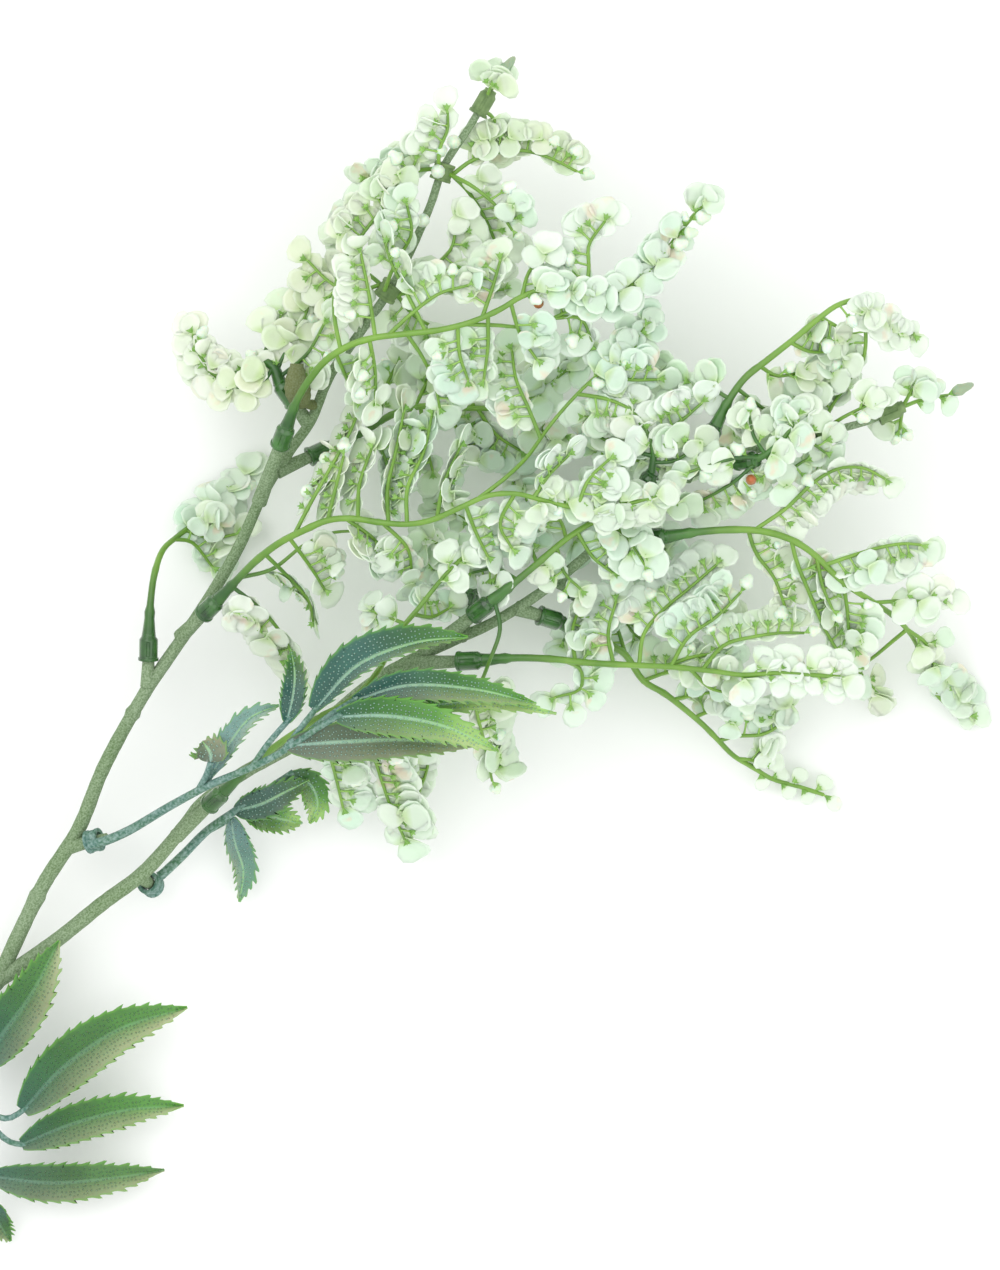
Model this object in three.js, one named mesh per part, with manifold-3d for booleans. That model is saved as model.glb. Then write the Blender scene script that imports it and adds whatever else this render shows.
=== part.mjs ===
// Artificial caspia stem, lying on a table: one wired stem that forks in two, flower sprays
// and leaf sprigs pushed on its pegs. Millimetres, +Z up. The layout is measured from the fork,
// x to the right and y away as seen from above, z above the table, and is turned at the end so
// that the lower stem lies along -X.
import * as THREE from "three";
import { mergeVertices } from "three/addons/utils/BufferGeometryUtils.js";
import Module from "manifold-3d";

const wasm = await Module();
wasm.setup();

// Driving dimensions
const lowerStemLength = 280;
const lowerStemAngle = 229;
const cutEndRadius = 2.4;
const forkRadius = 2.3;
const branchTipRadius = 0.9;
const branchTipShare = 1.15;
const forkHeight = 10;
const stemSides = 6;
const stemStep = 18;
const lowerStemStep = 28;
const branchRadius = 2.14;
const sideBranchRadius = 1.7;
const sideBranchTipRadius = 1.5;
const ringRadius = 2.7;
const ringLength = 1.8;

const clearance = 0.32;
const flatOfHexagon = Math.cos(Math.PI / 6);
const pegRadius = 1.15;
const pegRootRadius = 1.5;
const pegAtMouth = 1.38;
const pegSides = 5;
const pegTipGap = 0.8;
const sleeveRadius = 2.6;
const sleeveLength = 7;
const sleeveFloor = 2;
const sleeveTaper = 0.8;
const capWall = 0.9;
const collarWall = 1.3;
const collarLength = 4.5;
const leafCollarLength = 3.6;
const rootDepth = 0.6;

const rachisRadius = 1.25;
const rachisTipRadius = 0.7;
const rachisSides = 4;
const rachisStep = 14;
const twigRadius = 0.78;
const twigTipRadius = 0.6;
const twigSides = 3;
const twigStep = 20;

const petalRadius = 3.7;
const petalThickness = 2.1;
const petalSides = 4;
const petalStretch = 1.1;
const petalBreadth = 1.3;
const petalRoot = 0.2;
const petalSpacing = 9.9;
const petalTilt = 0.85;
const petalLean = [0.35, 0.75];
const budRadius = 2.1;
const budShare = 0.15;
const petalMargin = 0.35;

const leafThickness = 0.8;
const leafFold = 0.28;
const toothDepth = 0.14;
const toothLean = 0.55;
const leafEdge = 0.35;

const stemGreen = "#8a9a74";
const sleeveGreen = "#d3e3cd";
const leafGreen = "#6fa777";

// A fixed sequence of draws between 0 and 1
let drawState = 2026;
function draw() {
  drawState = (drawState * 16807) % 2147483647;
  return drawState / 2147483647;
}

function vector(point) {
  return new THREE.Vector3(point[0], point[1], point[2]);
}

function curveThrough(points) {
  return new THREE.CatmullRomCurve3(points.map(vector));
}

// The points at which a rod along the route has its sections
function stationsOf(points, step) {
  const path = curveThrough(points);
  return path.getSpacedPoints(Math.max(1, Math.round(path.getLength() / step)));
}

// A closed geometry becomes a solid that can be joined
function solidOf(geometry) {
  geometry.deleteAttribute("normal");
  geometry.deleteAttribute("uv");
  const merged = mergeVertices(geometry, 1e-4);
  return new wasm.Manifold(new wasm.Mesh({
    numProp: 3,
    vertProperties: new Float32Array(merged.attributes.position.array),
    triVerts: new Uint32Array(merged.index.array),
  }));
}

// Solids joined into one body; loose scraps and sealed hollows are dropped
function joined(solids) {
  const parts = wasm.Manifold.union(solids).simplify(0.05).decompose();
  return parts.reduce((best, part) => (part.volume() > best.volume() ? part : best));
}

function meshOf(name, solid, colour, roughness) {
  const raw = solid.getMesh();
  const geometry = new THREE.BufferGeometry();
  geometry.setAttribute("position", new THREE.BufferAttribute(raw.vertProperties, 3));
  geometry.setIndex(new THREE.BufferAttribute(raw.triVerts, 1));
  geometry.computeVertexNormals();
  const material = new THREE.MeshStandardMaterial({ color: colour, roughness, metalness: 0 });
  const mesh = new THREE.Mesh(geometry, material);
  mesh.name = name;
  return mesh;
}

// A round rod along a route, its radius changing evenly from one end to the other
function taperedRod(points, startRadius, endRadius, sides, step) {
  const path = curveThrough(points);
  const stations = stationsOf(points, step);
  const steps = stations.length - 1;
  const section = new THREE.Shape();
  for (let i = 0; i < sides; i += 1) {
    const angle = (i / sides) * 2 * Math.PI;
    const corner = [startRadius * Math.cos(angle), startRadius * Math.sin(angle)];
    if (i === 0) section.moveTo(...corner);
    else section.lineTo(...corner);
  }
  const geometry = new THREE.ExtrudeGeometry(section, { steps, extrudePath: path, curveSegments: 1 });
  const places = geometry.attributes.position;
  const corner = new THREE.Vector3();
  for (let i = 0; i < places.count; i += 1) {
    corner.fromBufferAttribute(places, i);
    let nearest = 0;
    stations.forEach((station, k) => {
      if (station.distanceTo(corner) < stations[nearest].distanceTo(corner)) nearest = k;
    });
    const scale = 1 + (endRadius / startRadius - 1) * (nearest / steps);
    corner.sub(stations[nearest]).multiplyScalar(scale).add(stations[nearest]);
    places.setXYZ(i, corner.x, corner.y, corner.z);
  }
  return solidOf(geometry);
}

// Geometry modelled along +Y from the origin is set at a point and aimed along a direction
function aimed(geometry, at, direction) {
  const turn = new THREE.Quaternion().setFromUnitVectors(new THREE.Vector3(0, 1, 0), direction);
  geometry.applyQuaternion(turn);
  geometry.translate(at.x, at.y, at.z);
  return solidOf(geometry);
}

function turnedProfile(profile, sides) {
  return new THREE.LatheGeometry(profile.map((p) => new THREE.Vector2(p[0], p[1])), sides);
}

// The socket that is pushed on a peg: open at its mouth, closed at the end that bears the rachis
function socketSleeve(mouth, direction, boreRadius, outerRadius, length) {
  const bottom = length - sleeveFloor;
  const profile = [[0, bottom], [boreRadius, bottom], [boreRadius, 0], [outerRadius, 0],
    [outerRadius * sleeveTaper, length], [0, length]];
  return aimed(turnedProfile(profile, stemSides), mouth, direction);
}

// A ring that is threaded over a peg or a branch
function collar(start, direction, boreRadius, length) {
  const outer = boreRadius + collarWall;
  const profile = [[boreRadius, 0], [outer, 0], [outer, length], [boreRadius, length], [boreRadius, 0]];
  return aimed(turnedProfile(profile, stemSides), start, direction);
}

// One petal: a four-sided lens, one corner sunk in the twig that it grows from. The margin
// makes it larger all round, to tell whether the petal itself keeps clear of other pieces.
function petal(root, outward, normal, margin) {
  const radius = petalRadius + margin;
  const half = petalThickness / 2 + margin;
  const geometry = turnedProfile([[0, -half], [radius, 0], [0, half]], petalSides);
  geometry.rotateY(Math.PI);
  geometry.scale(petalBreadth, 1, petalStretch);
  const side = new THREE.Vector3().crossVectors(normal, outward).normalize();
  const across = new THREE.Vector3().crossVectors(side, normal).normalize();
  geometry.applyMatrix4(new THREE.Matrix4().makeBasis(side, normal, across));
  const centre = root.clone().addScaledVector(outward, petalRadius * petalStretch - petalRoot);
  geometry.translate(centre.x, centre.y, centre.z);
  return solidOf(geometry);
}

// An eight-sided bud, one of its corners sunk in the twig
function bud(root, outward, margin) {
  const geometry = new THREE.OctahedronGeometry(budRadius + margin, 0);
  return aimed(geometry, root.clone().addScaledVector(outward, budRadius - petalRoot), outward);
}

// A toothed blade, folded along its midrib and arched over its length. Both faces have the
// same triangles. The route runs from the leaf's base to its tip.
function leafBlade(points, width, teeth) {
  const path = curveThrough(points);
  const rows = teeth * 2;
  const length = path.getLength();
  const places = [];
  const up = new THREE.Vector3(0, 0, 1);
  for (let i = 0; i <= rows; i += 1) {
    const u = i / rows;
    const middle = path.getPointAt(u);
    const along = path.getTangentAt(u);
    const side = new THREE.Vector3().crossVectors(along, up).normalize();
    const lift = new THREE.Vector3().crossVectors(side, along).normalize();
    const outline = Math.sin(Math.PI * Math.min(1, u * 0.97 + 0.03) ** 0.75) ** 0.8;
    const isTooth = i % 2 === 1;
    const half = Math.max(leafEdge, (width / 2) * outline * (isTooth ? 1 : 1 - toothDepth * 2));
    const lean = isTooth ? (length / rows) * toothLean : 0;
    for (const face of [1, -1]) {
      for (const hand of [-1, 0, 1]) {
        const corner = middle.clone().addScaledVector(side, hand * half);
        corner.addScaledVector(along, hand === 0 ? 0 : lean);
        corner.addScaledVector(lift, Math.abs(hand) * half * leafFold + (face * leafThickness) / 2);
        places.push(corner.x, corner.y, corner.z);
      }
    }
  }
  const index = [];
  const quad = (a, b, c, d) => index.push(a, b, c, a, c, d);
  for (let i = 0; i < rows; i += 1) {
    const near = i * 6;
    const far = near + 6;
    for (const k of [0, 1]) {
      index.push(near + k, near + k + 1, far + k + 1, near + k, far + k + 1, far + k);
      index.push(near + k + 3, far + k + 4, near + k + 4, near + k + 3, far + k + 3, far + k + 4);
    }
    quad(near, far, far + 3, near + 3);
    quad(near + 2, near + 5, far + 5, far + 2);
  }
  const last = rows * 6;
  quad(0, 3, 4, 1);
  quad(1, 4, 5, 2);
  quad(last, last + 1, last + 4, last + 3);
  quad(last + 1, last + 2, last + 5, last + 4);
  const geometry = new THREE.BufferGeometry();
  geometry.setAttribute("position", new THREE.Float32BufferAttribute(places, 3));
  geometry.setIndex(index);
  return solidOf(geometry);
}

// The wired stem: the lower stem to its cut end, and the two branches, from the fork to their tips
const lowerDirection = new THREE.Vector3(
  Math.cos(THREE.MathUtils.degToRad(lowerStemAngle)),
  Math.sin(THREE.MathUtils.degToRad(lowerStemAngle)),
  0,
);
const lowerStem = [
  [0, 0, forkHeight],
  [lowerDirection.x * lowerStemLength * 0.3, lowerDirection.y * lowerStemLength * 0.3, 6.5],
  [lowerDirection.x * lowerStemLength * 0.65, lowerDirection.y * lowerStemLength * 0.65, 4],
  [lowerDirection.x * lowerStemLength, lowerDirection.y * lowerStemLength, cutEndRadius],
];
const leftBranch = [
  [0, 0, forkHeight], [6, 13, 11], [12, 25, 12], [20.7, 38.7, 13], [27, 54, 14.5], [38, 73.7, 17],
  [43, 81, 18], [52, 94, 20], [61, 109, 22], [68, 124, 25], [74.5, 134, 28], [79.5, 141, 30],
  [84.5, 152.5, 33], [92, 163, 37], [101, 176, 41], [109.5, 194, 45], [113, 204, 46],
  [119.5, 214, 47], [123, 220, 47],
];
const rightBranch = [
  [0, 0, forkHeight], [14.5, 10, 12], [27, 20, 14], [37, 27.5, 16], [47, 38.7, 19], [52, 45, 20.5],
  [62, 52.5, 23], [77, 61, 26], [97, 77, 31], [115, 86, 35], [125, 90.5, 36.5], [137, 98, 38],
  [147, 106, 39], [157, 115, 39], [170, 125, 39], [185, 132, 38.5], [200, 136, 38], [212, 139, 37.5],
  [219, 141, 37], [225, 143.5, 36.5],
];
const sideBranch = [[100, 78.5, 32], [106, 80.5, 34.5], [111.5, 81, 36.5]];
const rings = [
  { at: [35, 67.6, 16.4], along: [0.55, 0.83, 0.1] },
  { at: [10, 21, 11.7], along: [0.45, 0.88, 0.1] },
];

// Flower sprays. The peg runs from its base, in a branch, towards the far end of the sleeve.
// Each twig starts on its rachis; petals stand from the share "bare" of a route to its tip.
const sprays = [
  {
    name: "spray_outer_left", base: [38.3, 74.5, 17.2], end: [38.6, 88, 19.5],
    rachis: [[39, 95, 20], [40, 103, 18], [42, 109, 14.5], [45, 112, 11], [50, 116, 6.5], [57, 122, 3.6],
      [62, 127, 2.5]],
    bare: 0.62,
    twigs: [
      { route: [[44.5, 111.6, 11.5], [49, 111, 9.5], [54, 105, 6.5]], bare: 0.3 },
      { route: [[48, 114.4, 8.2], [54, 112, 8], [60, 113, 7]], bare: 0.25 },
    ],
  },
  {
    name: "spray_far_left", base: [79, 140.5, 29.8], end: [71.5, 151, 33],
    rachis: [[70, 155, 33], [66, 155.5, 31], [61, 153, 29], [56, 152.5, 27], [52, 157, 25],
      [50, 163, 24]],
    bare: 0.12,
    twigs: [
      { route: [[71, 153.5, 33], [74, 160, 32], [78, 167, 31], [80, 175, 31]], bare: 0.2 },
      { route: [[68, 155.3, 32], [69, 161, 31], [72, 167, 30]], bare: 0.2 },
      { route: [[72, 152.5, 33], [79, 158, 37], [83, 165, 39]], bare: 0.3 },
    ],
  },
  {
    name: "spray_front", base: [46.5, 87, 19], end: [56.5, 96.5, 30],
    rachis: [[60, 100, 33], [66, 106, 37], [72, 110.5, 40], [78, 113.5, 43], [84, 116, 45],
      [90, 116.5, 47], [97, 115.5, 49], [104, 115, 51], [110, 116, 53], [117, 119, 55], [124, 122, 56],
      [131, 122.5, 57], [137, 121, 57], [143, 119.5, 56], [150, 119, 55], [158, 120, 54],
      [165, 121.5, 53]],
    bare: 0.8,
    twigs: [
      { route: [[60, 100, 33], [67, 94, 30], [72, 88, 26], [75, 82, 22], [77, 76, 19]], bare: 0.12 },
      { route: [[62, 102, 34], [70, 104, 33], [78, 110, 34], [85, 113, 36], [92, 113.5, 38]], bare: 0.95 },
      { route: [[68, 107.5, 38], [74, 102, 33], [79, 96, 27], [80, 91, 22]], bare: 0.3 },
      { route: [[74, 111.5, 41], [80, 104, 36], [83, 99, 31]], bare: 0.35 },
      { route: [[76, 112.5, 42], [79, 119, 41], [84, 128, 40], [89, 137, 39], [92, 144, 38]], bare: 0.2 },
      { route: [[91, 116.5, 47], [92, 125, 44], [95, 134, 42]], bare: 0.3 },
      { route: [[98, 115.4, 49], [104, 109, 44], [105, 102, 38]], bare: 0.35 },
      { route: [[104, 115, 51], [104, 124, 49], [108, 133, 46], [110, 142, 44]], bare: 0.2 },
      { route: [[111, 116.4, 53], [113, 125, 50], [117, 134, 48]], bare: 0.25 },
      { route: [[119, 120, 55], [121, 113, 51], [124, 107, 48]], bare: 0.3 },
      { route: [[136, 121.3, 57], [139, 127, 57], [144, 132, 56]], bare: 0.25 },
      { route: [[146, 119.2, 56], [149, 126, 56], [154, 131, 55]], bare: 0.25 },
      {
        route: [[122, 121.3, 56], [129, 127, 55], [134, 132, 53], [139, 139, 51], [144, 145, 50],
          [150, 151, 49], [158, 157, 48], [163, 164, 46]],
        bare: 0.7,
      },
      { route: [[137, 136.5, 52], [134, 144, 50], [131, 151, 48], [130, 158, 46]], bare: 0.25 },
      { route: [[146, 147, 50], [154, 146, 49], [161, 143, 47]], bare: 0.3 },
      { route: [[152, 152.4, 49], [159, 151, 48], [166, 151, 47]], bare: 0.3 },
    ],
  },
  {
    name: "spray_crown", base: [66.5, 120.8, 24.3], end: [74, 140, 40],
    rachis: [[77, 147, 45], [83, 155, 50], [89, 159, 53], [95, 161, 55], [103, 162, 57], [112, 163, 58],
      [120, 165, 59], [127, 168, 60], [132, 171, 60], [138, 173, 60], [145, 172, 59], [151, 171, 58],
      [157, 173, 56], [163, 177, 54], [167, 181, 52], [172, 188, 50], [177, 194, 48]],
    bare: 0.6,
    twigs: [
      {
        route: [[88, 158.5, 53], [86, 166, 53], [86, 173, 53], [88, 180, 52], [91, 186, 52],
          [96, 191, 52], [102, 197, 52], [106, 205, 51]],
        bare: 0.5,
      },
      { route: [[148, 171.3, 58], [149, 178, 58], [149, 184, 57], [153, 190, 56]], bare: 0.2 },
      { route: [[118, 164.5, 59], [127, 164, 57], [135, 164, 55], [143, 168, 54]], bare: 0.92 },
      { route: [[140, 167, 54], [147, 166, 52], [150, 160, 49]], bare: 0.3 },
      { route: [[108, 162.5, 57], [104, 172, 56], [100, 180, 55], [98, 187, 54]], bare: 0.5 },
      { route: [[99, 161.5, 56], [105, 167, 57], [112, 172, 58], [119, 174, 58]], bare: 0.35 },
      { route: [[123, 166.3, 59], [125, 173, 59], [127, 180, 58]], bare: 0.25 },
      { route: [[133, 171.5, 60], [134, 177, 59], [137, 181, 58]], bare: 0.3 },
      { route: [[104, 162, 57], [108, 156, 53], [111, 149, 49], [112, 144, 46]], bare: 0.2 },
      { route: [[124, 166.7, 59], [124, 159, 55], [123, 151, 52]], bare: 0.35 },
      { route: [[130, 170, 60], [132, 162, 56], [136, 156, 53]], bare: 0.4 },
      { route: [[94, 160.7, 55], [96, 153, 51], [96, 146, 48]], bare: 0.2 },
    ],
  },
  {
    name: "spray_back_left", base: [71, 128.5, 26.5], end: [85, 135, 22],
    rachis: [[90, 137, 21], [95, 140, 21], [100, 143, 21], [107, 145, 21], [113, 145, 21],
      [121, 144.5, 21], [129, 145, 22], [134, 147, 23], [140, 151, 24], [146, 156, 26]],
    bare: 0.7,
    twigs: [
      { route: [[94, 139.4, 21], [98, 132, 17], [100, 124, 13]], bare: 0.15 },
      { route: [[107, 145, 21], [108, 137, 17], [110, 129, 14]], bare: 0.15 },
      { route: [[114, 145, 21], [117, 138, 18], [121, 133, 15]], bare: 0.15 },
      { route: [[122, 144.5, 21], [126, 138, 18], [132, 134, 16]], bare: 0.15 },
      { route: [[106, 144.7, 21], [109, 152, 18], [112, 159, 16]], bare: 0.15 },
      { route: [[134, 147, 23], [136, 154, 21], [136, 160, 19]], bare: 0.15 },
    ],
  },
  {
    name: "spray_low_front", base: [45.5, 36.8, 18.5], end: [58, 48.5, 32],
    rachis: [[65, 55, 35], [72, 60.5, 38], [82, 67, 41], [90, 71.5, 43], [97, 79, 45], [101, 87, 46],
      [107, 94.5, 47], [113, 102, 46], [119, 108, 44]],
    bare: 0.88,
    twigs: [
      { route: [[81, 66.5, 41], [84, 59, 34], [86, 51, 26], [87.5, 44, 20]], bare: 0.15 },
      { route: [[90, 71.5, 43], [94, 62, 35], [97, 52, 28], [100, 43, 22], [103, 36, 17]], bare: 0.25 },
      { route: [[95, 76.5, 44], [104, 66, 35], [109, 57, 28], [106, 46, 22]], bare: 0.5 },
      { route: [[105, 92, 47], [110, 92, 43], [114, 94, 39]], bare: 0.25 },
      { route: [[103, 89.7, 46], [99, 92, 42], [96, 93, 39]], bare: 0.3 },
    ],
  },
  {
    name: "spray_mid_right", base: [108, 82.9, 33.5], end: [125, 96, 46],
    rachis: [[130, 100, 48], [136, 105, 49], [143, 111, 49], [149, 115, 48], [156, 118, 47],
      [163, 119.5, 46], [170, 120, 45]],
    bare: 0.72,
    twigs: [
      { route: [[126, 96.8, 46.5], [127, 89, 48], [124, 80, 47], [121, 71, 40], [123, 61, 33],
        [125, 51, 27]], bare: 0.6 },
      { route: [[131, 100.8, 48], [126, 104, 44], [120, 103, 40]], bare: 0.25 },
      { route: [[136, 105, 49], [134, 110, 44], [130, 113, 40]], bare: 0.3 },
      { route: [[141, 109.3, 49], [143, 103, 45], [147, 99, 43]], bare: 0.25 },
      { route: [[146, 113, 48.5], [150, 107, 46], [155, 103, 44]], bare: 0.25 },
      { route: [[153, 116.7, 47], [159, 111, 46], [163, 105, 46]], bare: 0.25 },
    ],
  },
  {
    name: "spray_right", base: [105.5, 80.4, 34.3], end: [123, 81.2, 41],
    rachis: [[131, 81.8, 42], [140, 81.5, 42], [150, 80.5, 42], [160, 80, 42], [170, 79.5, 41],
      [180, 78.5, 40], [188, 77.5, 39], [196, 78, 38], [205, 77.5, 37], [212, 77, 36]],
    bare: 0.72,
    twigs: [
      { route: [[142, 81.4, 42], [147, 79, 40], [147, 74, 37], [141, 72, 35]], bare: 0.25 },
      { route: [[146, 81, 42], [145, 88, 39], [147, 95, 36]], bare: 0.3 },
      { route: [[155, 80.2, 42], [154, 88, 39], [156, 96, 37]], bare: 0.3 },
      { route: [[162, 79.9, 42], [163, 88, 40], [168, 94, 39], [174, 99, 38], [181, 105, 37]],
        bare: 0.3 },
      { route: [[169, 79.6, 41], [174, 87, 39], [181, 92, 38], [187, 98, 37]], bare: 0.25 },
      { route: [[177, 78.8, 40], [183, 85, 38], [190, 87, 37], [197, 88, 37], [203, 88, 37]], bare: 0.25 },
      { route: [[174, 79.1, 40.5], [180, 74, 36], [186, 73, 33]], bare: 0.4 },
    ],
  },
  {
    name: "spray_drooping", base: [131, 94.2, 37.3], end: [143, 90.5, 33],
    rachis: [[149, 86, 31], [154, 85, 30], [158, 83, 29], [163, 76, 27], [168, 73, 25], [172, 70, 22.5],
      [178, 65, 18.5], [182, 61, 15.5], [186, 57, 12], [191, 54, 8.5], [196, 51, 5.6], [203, 49, 3.2],
      [209, 47, 2.3]],
    bare: 0.93,
    twigs: [
      { route: [[163, 76, 27], [170, 78, 25], [177, 78, 23]], bare: 0.3 },
      { route: [[171, 70.8, 23.5], [177, 74, 21], [184, 75, 19]], bare: 0.25 },
      { route: [[176, 66.8, 21], [179, 69, 18], [184, 70, 15]], bare: 0.25 },
      { route: [[182, 61, 15.5], [190, 63, 15], [196, 65, 14], [201, 70, 14]], bare: 0.15 },
      { route: [[187, 56.4, 11.3], [190, 58, 10.5], [193, 58, 9]], bare: 0.4 },
    ],
  },
  {
    name: "spray_far_right", base: [152.5, 111, 39], end: [169, 112, 44],
    rachis: [[175, 113, 45], [184, 113.7, 46], [191, 113.5, 46], [196, 112.5, 45.5], [201, 110.5, 44],
      [206, 107, 42], [210, 103, 40], [215, 99, 38], [220, 96, 34], [226, 92, 28.5], [230, 88, 22.5],
      [233, 83, 14.5], [235, 77, 8.5], [238, 72, 5.5], [242, 68.5, 3.8], [246, 67, 3]],
    bare: 0.9,
    twigs: [
      { route: [[191, 113.5, 46], [197, 118, 45], [202, 123, 44], [207, 127, 43], [213, 128, 42],
        [219, 127, 41], [223, 125, 40]], bare: 0.3 },
      { route: [[188, 113.6, 46], [191, 108, 42], [195, 102, 38], [198, 95, 34]], bare: 0.5 },
      { route: [[199, 111.3, 45], [203, 100, 38], [208, 91, 33], [212, 83, 28], [216, 75, 21]], bare: 0.4 },
      { route: [[212, 101.4, 39], [214, 93, 34], [216, 85, 30]], bare: 0.35 },
      { route: [[208, 105, 41], [215, 106, 41], [222, 108, 40], [230, 109, 39]], bare: 0.25 },
      { route: [[221, 95.4, 34.5], [227, 96, 34], [235, 96, 35]], bare: 0.25 },
      { route: [[229, 89, 24], [223, 83, 19], [218, 78, 14], [222, 74, 10]], bare: 0.65 },
      { route: [[228, 90, 25], [233, 88, 22], [236, 83, 18]], bare: 0.3 },
    ],
  },
  {
    name: "spray_upper_right", base: [173, 126.5, 39], end: [181, 140, 46],
    rachis: [[184, 146, 47], [188, 151.5, 48], [193, 155.5, 49], [200, 161, 50], [206, 166, 50],
      [211, 169.5, 50], [217, 171, 49], [222, 169.5, 47], [226, 166, 45], [230, 162.5, 43]],
    bare: 0.68,
    twigs: [
      { route: [[184, 146, 47], [178, 149.5, 46], [172, 149, 44], [167, 152, 42]], bare: 0.15 },
      { route: [[216, 170.9, 49], [218, 163, 46], [217, 155, 44], [211, 149, 42], [202, 147, 41]],
        bare: 0.25 },
      { route: [[191, 154, 48.5], [196, 152, 45], [202, 153, 42]], bare: 0.25 },
      { route: [[199, 160.3, 50], [204, 158, 47], [209, 158, 44]], bare: 0.25 },
      { route: [[186, 149, 47.5], [191, 145, 45], [197, 141, 43]], bare: 0.2 },
    ],
  },
  {
    name: "spray_centre", base: [159, 116.6, 39], end: [165, 128, 47],
    rachis: [[165, 134, 48], [162, 140, 48], [158, 146, 47]],
    bare: 0.2,
    twigs: [
      { route: [[164.7, 132, 48], [158, 134, 47], [151, 137, 45]], bare: 0.15 },
      { route: [[164.5, 136, 48], [171, 140, 48], [177, 145, 48]], bare: 0.2 },
      { route: [[161, 141.5, 48], [154, 141, 46], [148, 142, 44]], bare: 0.2 },
    ],
  },
  {
    name: "spray_inner_right", base: [182, 130.9, 38.6], end: [191, 131, 48],
    rachis: [[194, 133, 49], [198, 137, 49], [201, 142, 48]],
    bare: 0.1,
    twigs: [
      { route: [[192, 131.6, 48.5], [187, 127, 47], [181, 123, 44], [175, 120, 41]], bare: 0.12 },
      { route: [[193, 132.2, 49], [197, 128, 46], [203, 131, 43]], bare: 0.2 },
      { route: [[193, 132.2, 49], [190, 137, 49], [189, 142, 49]], bare: 0.25 },
      { route: [[197, 136, 49], [203, 136, 46], [208, 133, 42]], bare: 0.3 },
    ],
  },
  {
    name: "spray_under_left", base: [117, 86.8, 35.3], end: [120, 98, 26],
    rachis: [[120, 104, 22], [124, 111, 19], [131, 116, 17], [139, 119, 16], [147, 123, 15],
      [155, 128, 14], [163, 133, 13]],
    bare: 0.15,
    twigs: [
      { route: [[120.3, 105.5, 21], [113, 107, 17], [107, 109, 14]], bare: 0.15 },
      { route: [[132, 116.5, 17], [130, 123, 13], [131, 129, 11]], bare: 0.15 },
      { route: [[139, 119, 16], [145, 113, 13], [152, 110, 11]], bare: 0.15 },
      { route: [[147, 123, 15], [155, 120, 12], [162, 117, 10]], bare: 0.15 },
      { route: [[155, 128, 14], [152, 135, 11], [149, 141, 9]], bare: 0.15 },
      { route: [[162, 132.5, 13], [170, 134, 11], [178, 135, 9], [185, 138, 8]], bare: 0.1 },
      { route: [[162, 132.5, 13], [165, 140, 11], [170, 146, 9]], bare: 0.15 },
    ],
  },
  {
    name: "spray_under_right", base: [141, 101.3, 38.4], end: [148, 97, 27],
    rachis: [[153, 95.5, 21], [160, 96, 17], [168, 99, 14], [175, 103, 12]],
    bare: 0.15,
    twigs: [
      { route: [[152, 95.7, 22], [146, 91, 17], [143, 86, 13]], bare: 0.15 },
      { route: [[160, 96, 17], [164, 103, 13], [168, 110, 10]], bare: 0.15 },
      { route: [[168, 99, 14], [175, 96, 10], [183, 94, 8]], bare: 0.15 },
    ],
  },
];

// Collars threaded on a branch, each with flowering twigs around it
const whorls = [
  {
    name: "whorl_left_middle", at: [98, 171.6, 39.6], along: [0.55, 0.79, 0.25], bore: 1.85,
    twigs: [
      { route: [[92, 180, 38], [90, 187, 36], [91, 194, 35]], bare: 0.3 },
      { route: [[110, 174, 36], [119, 173, 34], [128, 174, 33]], bare: 0.2 },
      { route: [[106, 167, 34], [114, 163, 31]], bare: 0.2 },
      { route: [[90, 173, 39], [84, 176, 37], [79, 181, 36]], bare: 0.25 },
      { route: [[101, 180, 49], [105, 187, 52], [104, 194, 54]], bare: 0.35 },
      { route: [[109, 178, 43], [115, 184, 45], [116, 191, 45]], bare: 0.5 },
    ],
  },
  {
    name: "whorl_left_top", at: [112, 200.6, 45.8], along: [0.31, 0.94, 0.09], bore: 1.7,
    twigs: [
      { route: [[120, 205.5, 47], [126, 207.5, 47], [133, 208, 46], [140, 206, 45], [146, 203, 44]],
        bare: 0.2 },
      { route: [[119, 198, 44], [124, 190, 41], [127, 182, 39]], bare: 0.2 },
      { route: [[106, 203, 44], [99, 200, 43], [94, 201, 42]], bare: 0.2 },
      { route: [[112, 208, 52], [114, 213, 53], [114, 217, 53]], bare: 0.35 },
      { route: [[120, 199, 51], [126, 194, 52], [130, 188, 51]], bare: 0.6 },
    ],
  },
  {
    name: "whorl_right", at: [206, 137.5, 37.8], along: [0.97, 0.24, -0.04], bore: 1.65,
    twigs: [
      { route: [[210, 131, 32], [207, 125, 28]], bare: 0.3 },
      { route: [[210, 145, 40], [213, 149, 38]], bare: 0.4 },
      { route: [[213, 142, 44], [219, 145, 44]], bare: 0.6 },
    ],
  },
];

// Caps pushed on the two branch tips
const tips = [
  {
    name: "tip_left", mouth: [121.3, 217, 47], along: [0.5, 0.86, 0],
    twigs: [
      { route: [[124.6, 222.7, 47], [126, 226, 47]], bare: 0.2 },
      { route: [[124.6, 222.6, 46.6], [128, 218, 44], [127, 213, 42]], bare: 0.3 },
    ],
  },
  {
    name: "tip_right", mouth: [221.5, 142, 36.8], along: [0.92, 0.38, -0.08],
    twigs: [
      { route: [[227.6, 144.5, 36.3], [233, 146.5, 36], [239, 147.5, 35]], bare: 0.2 },
      { route: [[227.6, 144.5, 36.4], [230, 149, 39]], bare: 0.2 },
      { route: [[227.6, 144.4, 36.2], [227, 139, 33]], bare: 0.2 },
    ],
  },
];

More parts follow.
